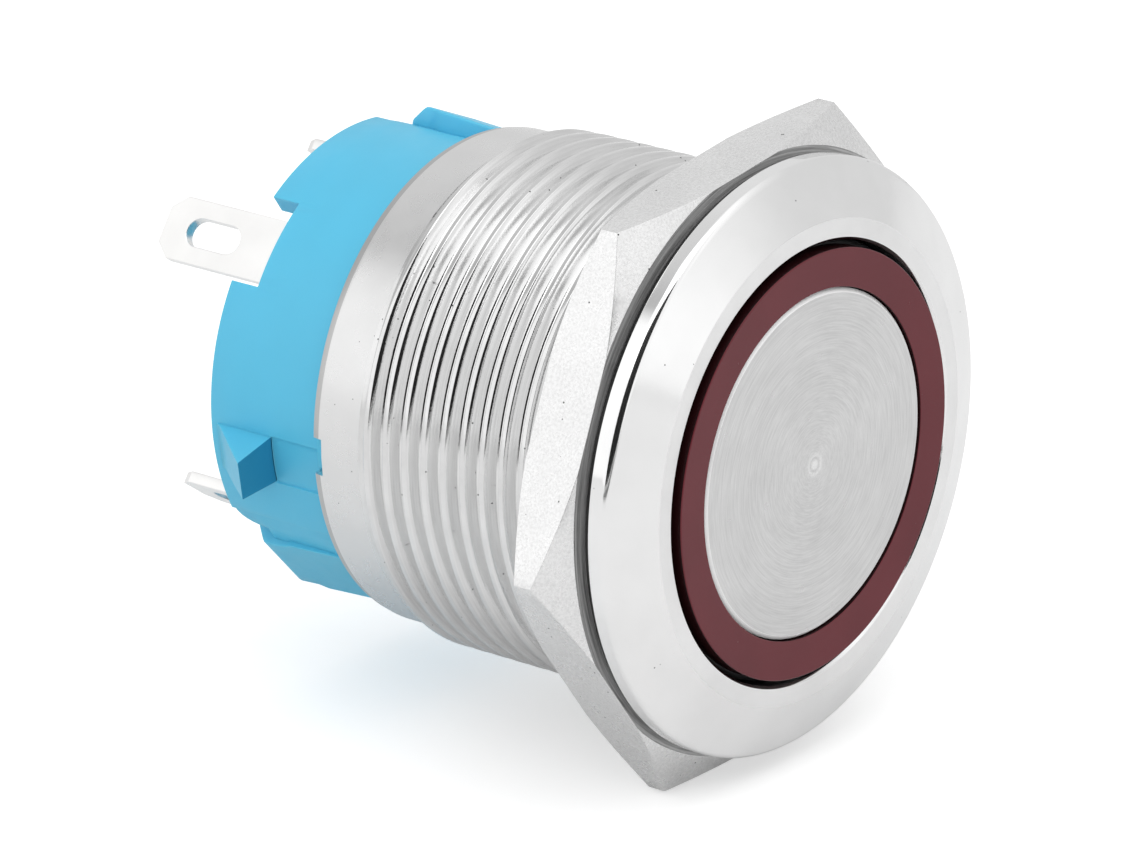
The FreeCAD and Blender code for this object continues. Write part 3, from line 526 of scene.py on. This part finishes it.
def make_barrel():
    """Head, threaded body and plain sleeve in one piece."""
    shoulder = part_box("light_ring")[1].y / MM - 1.3
    head_piece = lathe("head", rounded([
        (SLEEVE_BORE, 1.0, 0), (SLEEVE_BORE, shoulder, 0.02), (HEAD_BORE, shoulder, 0.03),
        (HEAD_BORE, HEAD_FRONT + 0.12, 0.02), (HEAD_BORE + 0.12, HEAD_FRONT, 0.03),
        (CONE_FRONT_R, HEAD_FRONT, 0.25), (HEAD_R, CONE_BACK, 0.34), (HEAD_R, RIM_BACK, 0.06),
        (RIM_BACK_R, 0.0, 0.05), (UNDER_R, 0.0, 0)], closed=False), closed=False)
    under = lathe("under_head", [(UNDER_R, 0.0), (10.9, 0.0), (10.6, 0.36), (10.4, 0.36)],
                  closed=False)
    sleeve = make_sleeve()
    screw = thread()
    for o in (head_piece, under, sleeve, screw):
        tidy_normals(o)
    for o in (head_piece, under):
        for mat in (HEAD, HEAD_FLAT, HEAD_REAR_SHADE):
            o.data.materials.append(mat)
        for face in o.data.polygons:
            if face.normal.y < -0.97 and radius_at_face(face) > HEAD_BORE + 0.06:
                face.material_index = 1
            # painted shade on the rear chamfer, for the gap's shadow
            elif 0.2 < face.normal.y < 0.95 and radius_at_face(face) > RIM_BACK_R - 0.05:
                face.material_index = 2
    sleeve.data.materials.append(SLEEVE)
    sleeve.data.materials.append(SLEEVE_REAR_SHADE)
    # painted shade on the rear chamfer and end
    for face in sleeve.data.polygons:
        if face.center.y > SLEEVE_CHAMFER * MM and radius_at_face(face) > 10.45:
            face.material_index = 1
    screw.data.materials.append(THREAD)
    piece = join("barrel_piece", [head_piece, under, sleeve, screw])
    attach(piece, "housing")
    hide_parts("barrel")


# Nut

NUT_FLAT, NUT_TURN, NUT_BORE, BORE_CHAMFER = 12.5, 7.4, 11.08, 0.3
NUT_FACE_R, NUT_BEVEL = 12.7, 28


def make_nut():
    """A thin hexagon nut, its corners bevelled on both sides."""
    front, back = (corner.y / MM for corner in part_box("hex_nut"))
    slope = math.tan(math.radians(NUT_BEVEL))
    start = math.degrees(math.acos(NUT_FLAT / NUT_FACE_R))
    across = sorted([60 * k / 24 for k in range(24)] + [30 - start, 30 + start])
    angles = [NUT_TURN + side * 60 + a for side in range(6) for a in across]

    def hexagon(a):
        return NUT_FLAT / math.cos(math.radians((a - NUT_TURN) % 60 - 30))

    def ring(radius, y):
        return [polar(min(radius, hexagon(a) - 0.02), a, y) for a in angles]

    def edge(sign, y0):
        return [polar(hexagon(a), a, y0 + sign * max(0.0, hexagon(a) - NUT_FACE_R) * slope)
                for a in angles]

    rows = [ring(NUT_BORE, front + BORE_CHAMFER), ring(NUT_BORE + BORE_CHAMFER, front),
            ring(NUT_FACE_R, front), edge(1, front),
            edge(-1, back), ring(NUT_FACE_R, back),
            ring(NUT_BORE + BORE_CHAMFER, back), ring(NUT_BORE, back - BORE_CHAMFER)]
    verts, faces = grid(rows, ends=True)
    obj = link("hex_nut_piece", verts, faces, sharp=25)
    tidy_normals(obj)
    bevel(obj, 0.05, angle=22)
    obj.data.materials.append(NUT)
    obj.data.materials.append(NUT_FACE)
    for face in obj.data.polygons:
        if face.normal.y < -0.99 and radius_at_face(face) < NUT_FLAT:
            face.material_index = 1
    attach(obj, "nut")
    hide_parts("hex_nut")


# Gasket, button and light ring

GASKET_BORE, GASKET_R, GASKET_THICK = 11.08, 11.7, 0.2
BUTTON_R, BUTTON_FACE_R, BUTTON_BACK, STUD_R = 7.29, 7.12, -0.95, 2.0
RING_BORE, RING_R, STUD_HOLE = 7.34, 8.97, 2.08
SEAL_GROOVE, SEAL_FRONT, SEAL_BACK = 8.38, -1.4, -0.53


def make_gasket():
    """The thin seal between head and nut."""
    obj = lathe("panel_gasket_piece", rounded([
        (GASKET_BORE, 0.0, 0.03), (GASKET_R, 0.0, 0.06), (GASKET_R, GASKET_THICK, 0.06),
        (GASKET_BORE, GASKET_THICK, 0.03)]))
    tidy_normals(obj)
    obj.data.materials.append(SEAL)
    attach(obj, "housing")
    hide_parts("panel_gasket")


def make_button():
    """The button with its turned pip, chamfered edge and stud."""
    front, back = (corner.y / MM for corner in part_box("button_cap"))
    section = [(0.0, front + 0.02), (0.10, front + 0.012), (0.19, front + 0.01),
               (0.24, front + 0.03), (0.30, front + 0.03), (0.36, front + 0.012), (0.5, front)]
    section += rounded([
        (0.6, front, 0), (6.74, front, 0.5), (BUTTON_FACE_R, front + 0.03, 0.03),
        (BUTTON_R, front + 0.20, 0.03), (BUTTON_R, BUTTON_BACK, 0.05), (STUD_R, BUTTON_BACK, 0),
        (STUD_R, back, 0.1), (0.0, back, 0)], closed=False)
    obj = lathe("button_cap_piece", section, closed=False)
    tidy_normals(obj)
    obj.data.materials.append(BUTTON)
    obj.data.materials.append(BUTTON_EDGE_HIGHLIGHT)
    # painted highlight on the chamfer
    for face in obj.data.polygons:
        if radius_at_face(face) > BUTTON_FACE_R - 0.02 and face.normal.y < -0.3:
            face.material_index = 1
    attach(obj, "actuator")
    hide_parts("button_cap")


def make_light_ring():
    """The clear ring with its seal groove, retaining flange and web behind the button."""
    front, back = (corner.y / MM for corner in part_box("light_ring"))
    flange = back - 1.25
    obj = lathe("light_ring_piece", rounded([
        (RING_BORE, BUTTON_BACK, 0), (RING_BORE, front + 0.07, 0.03), (RING_R, front, 0.05),
        (RING_R, SEAL_FRONT, 0.02), (SEAL_GROOVE, SEAL_FRONT, 0.02), (SEAL_GROOVE, SEAL_BACK, 0.02),
        (8.94, SEAL_BACK, 0.02), (8.94, flange, 0.02), (9.7, flange, 0.05),
        (9.7, flange + 0.8, 0.05), (8.9, flange + 0.8, 0.05), (8.9, back, 0.05), (7.9, back, 0.05),
        (7.9, 0.9, 0.05), (STUD_HOLE, 0.9, 0), (STUD_HOLE, BUTTON_BACK, 0)]))
    tidy_normals(obj)
    obj.data.materials.append(RING)
    obj.data.materials.append(RING_SHADED_SIDE)
    # painted shade on the side walls
    for face in obj.data.polygons:
        if abs(face.normal.y) < 0.35:
            face.material_index = 1
    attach(obj, "actuator")
    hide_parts("light_ring")


# Base

BASE, RELIEF, CHANNEL = 9.92, 9.78, 9.82
RIM, FLOOR, BASE_FRONT, RIM_INSIDE = 21.5, 20.1, 9.05, 9.0
FRONT_INSIDE, FLOOR_CENTRE = 8.7, 5.0
LATCH, LATCH_FACE, CHANNEL_HALF = 189.5, 18.3, 6.2
LATCH_CREST, CREST_HALF, FOOT_HALF, LATCH_HEIGHT = 12.0, 0.86, 1.03, 2.08
RIB_WIDE, RIB_NARROW, RIB_SLANT, RIB_FOOT, RIB_FRONT = 10.5, 9.4, 4.5, 9.3, 15.56
RIB_STEPS = 6
KEY_HALF = math.degrees(0.72 / 10.3)
KEY_FOOT, KEY_TOP, KEY_FRONT, KEY_BACK = 9.8, 10.17, 15.1, 15.58
LOWER_RIB = {"angle": 228.2, "top": 10.25, "nose": 19.25, "back": 21.2, "relief": 19.5, "gap": 13.7,
             "round": 5.3}
UPPER_RIB = {"angle": 71.3, "top": 10.57, "nose": 18.65, "back": 20.15, "relief": 13.3, "gap": 9.4,
             "round": 3.5}
RIM_NOTCHES = (137.15, 317.15)
NOTCH_HALF = 11.5


def away(a, centre):
    """Angle from a centre, between 0 and 180 degrees."""
    return abs((a - centre + 180) % 360 - 180)


def rim_end(a):
    """Rear end of the wall: rounded down to the floor at each rib."""
    for zone in (LOWER_RIB, UPPER_RIB):
        part = (away(a, zone["angle"]) - zone["gap"]) / zone["round"]
        if part <= 0:
            return FLOOR
        if part < 1:
            return FLOOR + (RIM - FLOOR) * math.sqrt(1 - (1 - part) ** 2)
    return RIM


def wall_radius(a, y):
    """Outside of the wall: full, relieved round the ribs, shallow ahead of the latch."""
    if y > SLEEVE_BACK:
        if any(away(a, zone["angle"]) < zone["relief"] for zone in (LOWER_RIB, UPPER_RIB)):
            return RELIEF
        if away(a, LATCH) < CHANNEL_HALF and y < LATCH_FACE:
            return CHANNEL
    return BASE


def wall_breaks():
    """The angles where the wall changes, with even steps between them."""
    marks = []
    for zone in (LOWER_RIB, UPPER_RIB):
        for reach in (zone["relief"], zone["gap"], zone["gap"] + zone["round"]):
            marks += [zone["angle"] - reach, zone["angle"] + reach]
        for k in range(1, 6):
            reach = zone["gap"] + zone["round"] * (k / 6) ** 1.6
            marks += [zone["angle"] - reach, zone["angle"] + reach]
    for c in RIM_NOTCHES:
        marks += [c - NOTCH_HALF, c + NOTCH_HALF]
    marks += [LATCH - CHANNEL_HALF, LATCH + CHANNEL_HALF]
    marks = sorted(m % 360 for m in marks)
    fine = []
    for a, b in zip(marks, marks[1:] + [marks[0] + 360]):
        steps = max(1, round((b - a) / 1.6))
        fine += [a + (b - a) * k / steps for k in range(steps)]
    return fine


def base_wall():
    """The cup's wall, floor and rim, cell by cell round the axis and along it."""
    fine = wall_breaks()
    rows = [BASE_FRONT, SLEEVE_BACK, LATCH_FACE, FLOOR]
    last = len(rows) - 2
    verts, faces, index = [], [], {}

    def corner(radius, a, y):
        key = (round(radius, 4), round(a % 360, 4), round(y, 4))
        if key not in index:
            index[key] = len(verts)
            verts.append(polar(radius, a, y))
        return index[key]

    def face(*corners):
        ids = []
        for c in corners:
            i = corner(*c)
            if i not in ids:
                ids.append(i)
        if len(ids) > 2:
            faces.append(ids)

    spans = list(zip(fine, fine[1:] + [fine[0] + 360]))
    count = len(spans)

    def radius_at(i, j):
        a, b = spans[i % count]
        return wall_radius((a + b) / 2, (rows[j] + rows[j + 1]) / 2)

    def open_rim(i):
        a, b = spans[i % count]
        return any(away((a + b) / 2, c) < NOTCH_HALF for c in RIM_NOTCHES)

    def ends(i):
        if open_rim(i):
            return FLOOR, FLOOR
        a, b = spans[i % count]
        return rim_end(a), rim_end(b)

    for i, (a, b) in enumerate(spans):
        for j in range(last + 1):
            r, y0, y1 = radius_at(i, j), rows[j], rows[j + 1]
            face((r, a, y0), (r, b, y0), (r, b, y1), (r, a, y1))
            if j < last and radius_at(i, j + 1) != r:
                s = radius_at(i, j + 1)
                face((r, a, y1), (r, b, y1), (s, b, y1), (s, a, y1))
            before = radius_at(i - 1, j)
            if before != r:
                face((r, a, y0), (before, a, y0), (before, a, y1), (r, a, y1))
        outer = radius_at(i, last)
        end_a, end_b = ends(i)
        face((outer, a, FLOOR), (outer, b, FLOOR), (outer, b, end_b), (outer, a, end_a))
        face((outer, a, end_a), (outer, b, end_b), (RIM_INSIDE, b, end_b), (RIM_INSIDE, a, end_a))
        face((RIM_INSIDE, a, end_a), (RIM_INSIDE, b, end_b), (RIM_INSIDE, b, FLOOR),
             (RIM_INSIDE, a, FLOOR))
        face((RIM_INSIDE, a, FLOOR), (RIM_INSIDE, b, FLOOR), (FLOOR_CENTRE, b, FLOOR),
             (FLOOR_CENTRE, a, FLOOR))
        face((FLOOR_CENTRE, a, FLOOR), (FLOOR_CENTRE, b, FLOOR), (0.0, 0.0, FLOOR))
        face((BASE, a, BASE_FRONT), (FRONT_INSIDE, a, BASE_FRONT), (FRONT_INSIDE, b, BASE_FRONT),
             (BASE, b, BASE_FRONT))
        old_outer, old_end = radius_at(i - 1, last), ends(i - 1)[1]
        if abs(old_end - end_a) > 1e-6:
            tall = outer if end_a > old_end else old_outer
            high, low = max(end_a, old_end), min(end_a, old_end)
            face((RIM_INSIDE, a, low), (tall, a, low), (tall, a, high), (RIM_INSIDE, a, high))
        if old_outer != outer and min(end_a, old_end) > FLOOR:
            high = min(end_a, old_end)
            face((old_outer, a, FLOOR), (outer, a, FLOOR), (outer, a, high), (old_outer, a, high))
    return link("base_wall", verts, faces)


def rib(name, zone):
    """A keying rib: a flat top that slopes down to the sleeve, and a narrower nose at its rear."""
    middle, back, nose = zone["angle"], zone["back"], zone["nose"]
    low = zone["top"] / math.cos(math.radians(RIB_WIDE))
    low *= math.cos(math.radians(RIB_WIDE + RIB_SLANT))

    def height(y):
        return low - 0.25 * min(1.0, (back - 0.6 - y) / (back - 16.1))

    stations = [(y, reach, height(y)) for y, reach in
                ((RIB_FRONT, RIB_WIDE), (nose - 0.2, RIB_WIDE), (nose + 0.2, RIB_NARROW),
                 (back - 0.85, RIB_NARROW))]
    stations += [(back - before, RIB_NARROW, low - drop)
                 for before, drop in ((0.68, 0.04), (0.55, 0.14), (0.0, 0.7))]
    rows = []
    for y, reach, h in stations:
        angles = [middle - reach + 2 * reach * k / RIB_STEPS for k in range(RIB_STEPS + 1)]
        row = [polar(RIB_FOOT, angles[0], y)]
        row += [polar(h / math.cos(math.radians(a - middle + RIB_SLANT)), a, y) for a in angles]
        rows.append(row + [polar(RIB_FOOT, angles[-1], y)])
    verts, faces = grid(rows, around=False)
    n = len(rows[0])
    faces.append(list(range(n)))
    faces.append([(len(rows) - 1) * n + k for k in range(n)][::-1])
    for i in range(len(rows) - 1):
        faces.append((i * n, (i + 1) * n, (i + 1) * n + n - 1, i * n + n - 1))
    return link(name, verts, faces)


def latch():
    """The catch: a square face in front, and behind it a ramp that ends in a soft hollow."""
    side = [(LATCH_CREST, LATCH_FACE), (11.2, 19.38), (10.5, 20.3), (10.12, 20.78), (9.98, 21.0),
            (9.9, 21.2), (9.6, 21.2), (9.6, LATCH_FACE)]
    turn = math.radians(LATCH)
    n = len(side)
    verts = []
    for sign in (-1, 1):
        for r, y in side:
            widening = (FOOT_HALF - CREST_HALF) * (LATCH_CREST - r) / LATCH_HEIGHT
            shift = sign * (CREST_HALF + widening)
            verts.append((r * math.cos(turn) - shift * math.sin(turn), y,
                          r * math.sin(turn) + shift * math.cos(turn)))
    faces = [(k, (k + 1) % n, n + (k + 1) % n, n + k) for k in range(n)]
    faces += [list(range(n)), list(range(n, 2 * n))[::-1]]
    return link("latch", verts, faces)


def key_block():
    """The key in the sleeve's notch."""
    section = [(KEY_FOOT, KEY_FRONT), (KEY_TOP, KEY_FRONT), (KEY_TOP, KEY_BACK),
               (KEY_FOOT, KEY_BACK)]
    rows = [[polar(r, a, y) for r, y in section]
            for a in (KEY_ANGLE - KEY_HALF, KEY_ANGLE, KEY_ANGLE + KEY_HALF)]
    verts, faces = grid(rows, around=True)
    faces += [(0, 1, 2, 3), (8, 11, 10, 9)]
    return link("key", verts, faces)


def make_base():
    """The blue cup with its ribs, latch and key; the latch's catch face is painted a darker blue
    for shade.
    """
    key = key_block()
    pieces = [base_wall(), rib("lower_rib", LOWER_RIB), rib("upper_rib", UPPER_RIB), latch(), key]
    for piece, width in zip(pieces, (0.05, 0.12, 0.12, 0.04, 0.03)):
        tidy_normals(piece)
        bevel(piece, width)
    obj = join("base_piece", pieces)
    obj.data.materials.append(BLUE)
    obj.data.materials.append(SHADED_BLUE)
    # painted shade on the latch's forward catch face
    for face in obj.data.polygons:
        at = math.degrees(math.atan2(face.center.z, face.center.x))
        if face.normal.y < -0.9 and radius_at_face(face) > BASE + 0.2 and away(at, LATCH) < 8:
            face.material_index = 1
    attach(obj, "housing")
    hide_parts("base")


# Terminals

# name: angle of the facing, distance from the axis, shift sideways
TERMINALS = {
    "lug_lamp_plus": (145.0, 7.6, -1.35),
    "lug_lamp_minus": (325.0, 7.6, -1.35),
    "lug_common": (235.0, 7.6, 0.45),
    "lug_closed": (55.0, 7.6, 0.0),
    "lug_open": (235.0, 0.0, 0.0),
}
LUG_HALF, LUG_FRONT, LUG_TIP, LUG_THICK, LUG_EDGE = 1.4, 19.6, 27.5999, 0.5, 0.03
CORNER_WIDTH, CORNER_LENGTH = 0.62, 0.68
SLOT_FRONT, SLOT_BACK, SLOT_R, SLOT_STEPS = 23.5, 26.35, 0.625, 14
SOLID_KEPT_TO = 19.8


def make_lug(name):
    """The tab behind the base's floor, slotted, with cut corners and rounded edges."""
    angle, radius, shift = TERMINALS[name]
    shoulder, narrow = LUG_TIP - CORNER_LENGTH, LUG_HALF - CORNER_WIDTH
    outer = [(-LUG_HALF, LUG_FRONT), (LUG_HALF, LUG_FRONT), (LUG_HALF, shoulder),
             (narrow, LUG_TIP), (-narrow, LUG_TIP), (-LUG_HALF, shoulder)]
    hole = []
    for start, middle in ((0.0, SLOT_BACK - SLOT_R), (math.pi, SLOT_FRONT + SLOT_R)):
        turns = [start + math.pi * k / SLOT_STEPS for k in range(SLOT_STEPS + 1)]
        hole += [(SLOT_R * math.cos(t), middle + SLOT_R * math.sin(t)) for t in turns]
    curve = bpy.data.curves.new(name, "CURVE")
    curve.dimensions = "2D"
    curve.fill_mode = "BOTH"
    curve.extrude = (LUG_THICK / 2 - LUG_EDGE) * MM
    curve.bevel_depth = LUG_EDGE * MM
    curve.bevel_resolution = 2
    curve.offset = -LUG_EDGE * MM
    for points in (outer, hole):
        spline = curve.splines.new("POLY")
        spline.points.add(len(points) - 1)
        for p, (x, y) in zip(spline.points, points):
            p.co = (x * MM, y * MM, 0, 1)
        spline.use_cyclic_u = True
    temp = bpy.data.objects.new(name, curve)
    bpy.context.scene.collection.objects.link(temp)
    bpy.context.view_layer.update()
    shape = temp.evaluated_get(bpy.context.evaluated_depsgraph_get())
    mesh = bpy.data.meshes.new_from_object(shape)
    bpy.data.objects.remove(temp)
    turn = Matrix.Rotation(math.radians(270 - angle), 4, "Y")
    mesh.transform(turn @ Matrix.Translation((shift * MM, 0, -radius * MM)))
    obj = bpy.data.objects.new(name + "_piece", mesh)
    bpy.context.scene.collection.objects.link(obj)
    mesh.set_sharp_from_angle(angle=math.radians(40))
    return obj


def make_terminals():
    """Each terminal: the new tab, joined to the solid's part ahead of the floor."""
    for name in TERMINALS:
        blade = make_lug(name)
        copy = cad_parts[name].data.copy()
        rest = bpy.data.objects.new(name + "_inner", copy)
        bpy.context.scene.collection.objects.link(rest)
        bm = bmesh.new()
        bm.from_mesh(copy)
        geom = bm.verts[:] + bm.edges[:] + bm.faces[:]
        bmesh.ops.bisect_plane(bm, geom=geom, plane_co=(0, SOLID_KEPT_TO * MM, 0),
                               plane_no=(0, 1, 0), clear_outer=True)
        bm.to_mesh(copy)
        bm.free()
        copy.materials.clear()
        blade.data.materials.clear()
        obj = join(name + "_piece", [blade, rest])
        obj.data.materials.clear()
        obj.data.materials.append(LUG)
        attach(obj, "housing")
        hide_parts(name)


# Inner pieces

INNER = {
    "ring_seal": SEAL, "base_seal": SEAL, "plunger": WHITE, "guide_frame": WHITE,
    "lamp_board": BOARD, "lamp_chips": RESIN, "resistor": BLACK, "contact_blade": BLADE,
    "blade_contact": SILVER, "closed_contact": SILVER, "open_contact": SILVER,
    "return_spring": WIRE, "contact_spring": WIRE,
}


def dress_inner():
    """The pieces inside keep their solids and take these materials."""
    for name, mat in INNER.items():
        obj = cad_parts[name]
        obj.data.materials.clear()
        obj.data.materials.append(mat)


make_barrel()
make_nut()
make_gasket()
make_button()
make_light_ring()
make_base()
make_terminals()
dress_inner()

# Studio

FLOOR_SIZE, FLOOR_DROP, FLOOR_TONE = 1.2, 0.0002, 0.75
FLOOR_IN_MIRRORS, FLOOR_TO_CAMERA = 0.07, 0.45
CARD_TONE = 0.01
ROOM_SIZE, ROOM_AT, ROOM_AIM = (0.44, 0.50), (-0.223, -0.2008, 0.245), (0, 0, 0.245)
EDGE_SIZE, EDGE_AT, EDGE_TURN = (0.34, 0.15), (-0.167, -0.150, -0.0135), -48
KEY_LAMP_AT, KEY_LAMP_AIM = (-0.17, -0.10, 0.52), (0, 0.005, 0)
KEY_LAMP_SIZE, KEY_LAMP_POWER = (0.62, 0.62), 0.85
# brightness of the studio from its left side (0) to its right (1), seen forwards and rearwards
FRONT_WALLS = [(0.0, 1.10), (0.57, 1.0), (0.66, 1.10), (0.86, 0.74), (1.0, 0.74)]
REAR_WALLS = [(0.0, 1.12), (0.29, 1.12), (0.335, 0.50), (0.45, 0.66), (0.80, 0.80), (1.0, 0.74)]
REAR_FROM, REAR_TO = 0.1, 0.4
# fitted to the photo: focal length and width in pixels, place in millimetres
FOCAL_PX, PHOTO_PX, SENSOR = 7322, 1140, 36
CAMERA_AT = (-223.87, -166.04, 102.45)
CAMERA_RIGHT, CAMERA_FORWARD = (0.6191, -0.7853, 0.0), (0.7380, 0.5818, -0.3418)


def aimed(at, aim):
    """The placement of something at one point that looks at another."""
    look = (Vector(aim) - Vector(at)).to_track_quat("-Z", "Y")
    return Matrix.Translation(Vector(at)) @ look.to_matrix().to_4x4()


def add_floor():
    """The pale floor: lit as it stands, and a little brighter in mirrors and to the camera."""
    drop = cad_box[0].z - FLOOR_DROP
    corners = [(x * FLOOR_SIZE, y * FLOOR_SIZE, drop)
               for x, y in ((-1, -1), (1, -1), (1, 1), (-1, 1))]
    mesh = bpy.data.meshes.new("floor")
    mesh.from_pydata(corners, [], [(0, 1, 2, 3)])
    floor = bpy.data.objects.new("floor", mesh)
    bpy.context.scene.collection.objects.link(floor)
    mat = bpy.data.materials.new("pale_floor")
    mat.use_nodes = True
    tree = mat.node_tree
    tree.nodes.clear()
    out = node(tree, "ShaderNodeOutputMaterial")
    diffuse = node(tree, "ShaderNodeBsdfDiffuse")
    diffuse.inputs["Color"].default_value = (FLOOR_TONE, FLOOR_TONE, FLOOR_TONE, 1)
    glow = node(tree, "ShaderNodeEmission")
    rays = node(tree, "ShaderNodeLightPath")
    mirrored = math_node(tree, "MULTIPLY", rays.outputs["Is Glossy Ray"], FLOOR_IN_MIRRORS)
    clear = math_node(tree, "MAXIMUM", rays.outputs["Is Camera Ray"],
                      rays.outputs["Is Transmission Ray"])
    seen = math_node(tree, "MULTIPLY", clear, FLOOR_TO_CAMERA)
    tree.links.new(math_node(tree, "ADD", mirrored, seen), glow.inputs["Strength"])
    add = node(tree, "ShaderNodeAddShader")
    tree.links.new(diffuse.outputs[0], add.inputs[0])
    tree.links.new(glow.outputs[0], add.inputs[1])
    tree.links.new(add.outputs[0], out.inputs["Surface"])
    floor.data.materials.append(mat)


def add_card(name, size, place):
    """A dark card that only the metal's reflections see."""
    w, h = size[0] / 2, size[1] / 2
    mesh = bpy.data.meshes.new(name)
    mesh.from_pydata([(-w, -h, 0), (w, -h, 0), (w, h, 0), (-w, h, 0)], [], [(0, 1, 2, 3)])
    card = bpy.data.objects.new(name, mesh)
    bpy.context.scene.collection.objects.link(card)
    card.matrix_world = place
    mat, _, bsdf = shader(name, Roughness=1.0)
    bsdf.inputs["Base Color"].default_value = (CARD_TONE, CARD_TONE, CARD_TONE, 1)
    card.data.materials.append(mat)
    card.visible_camera = False
    card.visible_shadow = False
    card.visible_diffuse = False
    card.visible_transmission = False


def add_key_lamp():
    """One large soft lamp above the camera's side."""
    data = bpy.data.lights.new("key", "AREA")
    data.shape = "RECTANGLE"
    data.size, data.size_y = KEY_LAMP_SIZE
    data.energy = KEY_LAMP_POWER
    lamp = bpy.data.objects.new("key", data)
    bpy.context.scene.collection.objects.link(lamp)
    lamp.matrix_world = aimed(KEY_LAMP_AT, KEY_LAMP_AIM)


def add_world():
    """A studio that is brighter on the left than on the right, and white to the camera."""
    world = bpy.data.worlds.new("studio")
    bpy.context.scene.world = world
    world.use_nodes = True
    tree = world.node_tree
    back = tree.nodes["Background"]
    place = node(tree, "ShaderNodeTexCoord")
    parts = node(tree, "ShaderNodeSeparateXYZ")
    tree.links.new(place.outputs["Generated"], parts.inputs["Vector"])
    across = spread(tree, parts.outputs["X"], 0.0, 1.0, start=-1.0)
    rearward = spread(tree, parts.outputs["Y"], 0.0, 1.0, REAR_FROM, REAR_TO, soft=True)
    walls = node(tree, "ShaderNodeMix", data_type="FLOAT")
    tree.links.new(rearward, walls.inputs["Factor"])
    tree.links.new(ramp(tree, across, FRONT_WALLS), walls.inputs["A"])
    tree.links.new(ramp(tree, across, REAR_WALLS), walls.inputs["B"])
    rays = node(tree, "ShaderNodeLightPath")
    mix = node(tree, "ShaderNodeMix", data_type="FLOAT")
    mix.inputs["B"].default_value = 1.0
    tree.links.new(rays.outputs["Is Camera Ray"], mix.inputs["Factor"])
    tree.links.new(walls.outputs["Result"], mix.inputs["A"])
    tree.links.new(mix.outputs["Result"], back.inputs["Color"])


def add_camera():
    """The photo's camera."""
    data = bpy.data.cameras.new("camera")
    data.sensor_fit = "HORIZONTAL"
    data.sensor_width = SENSOR
    data.lens = FOCAL_PX / PHOTO_PX * SENSOR
    data.clip_start, data.clip_end = 0.01, 10
    cam = bpy.data.objects.new("camera", data)
    bpy.context.scene.collection.objects.link(cam)
    forward = Vector(CAMERA_FORWARD).normalized()
    up = Vector(CAMERA_RIGHT).cross(forward).normalized()
    right = forward.cross(up).normalized()
    place = Matrix((right, up, -forward)).transposed().to_4x4()
    cam.matrix_world = Matrix.Translation(Vector(CAMERA_AT) * MM) @ place
    bpy.context.scene.camera = cam


add_floor()
add_world()
add_card("dark_room", ROOM_SIZE, aimed(ROOM_AT, ROOM_AIM))
add_card("dark_table_edge", EDGE_SIZE,
         Matrix.Translation(Vector(EDGE_AT)) @ Matrix.Rotation(math.radians(EDGE_TURN), 4, "Z"))
add_key_lamp()
add_camera()

scene = bpy.context.scene
scene.view_settings.view_transform = "Standard"
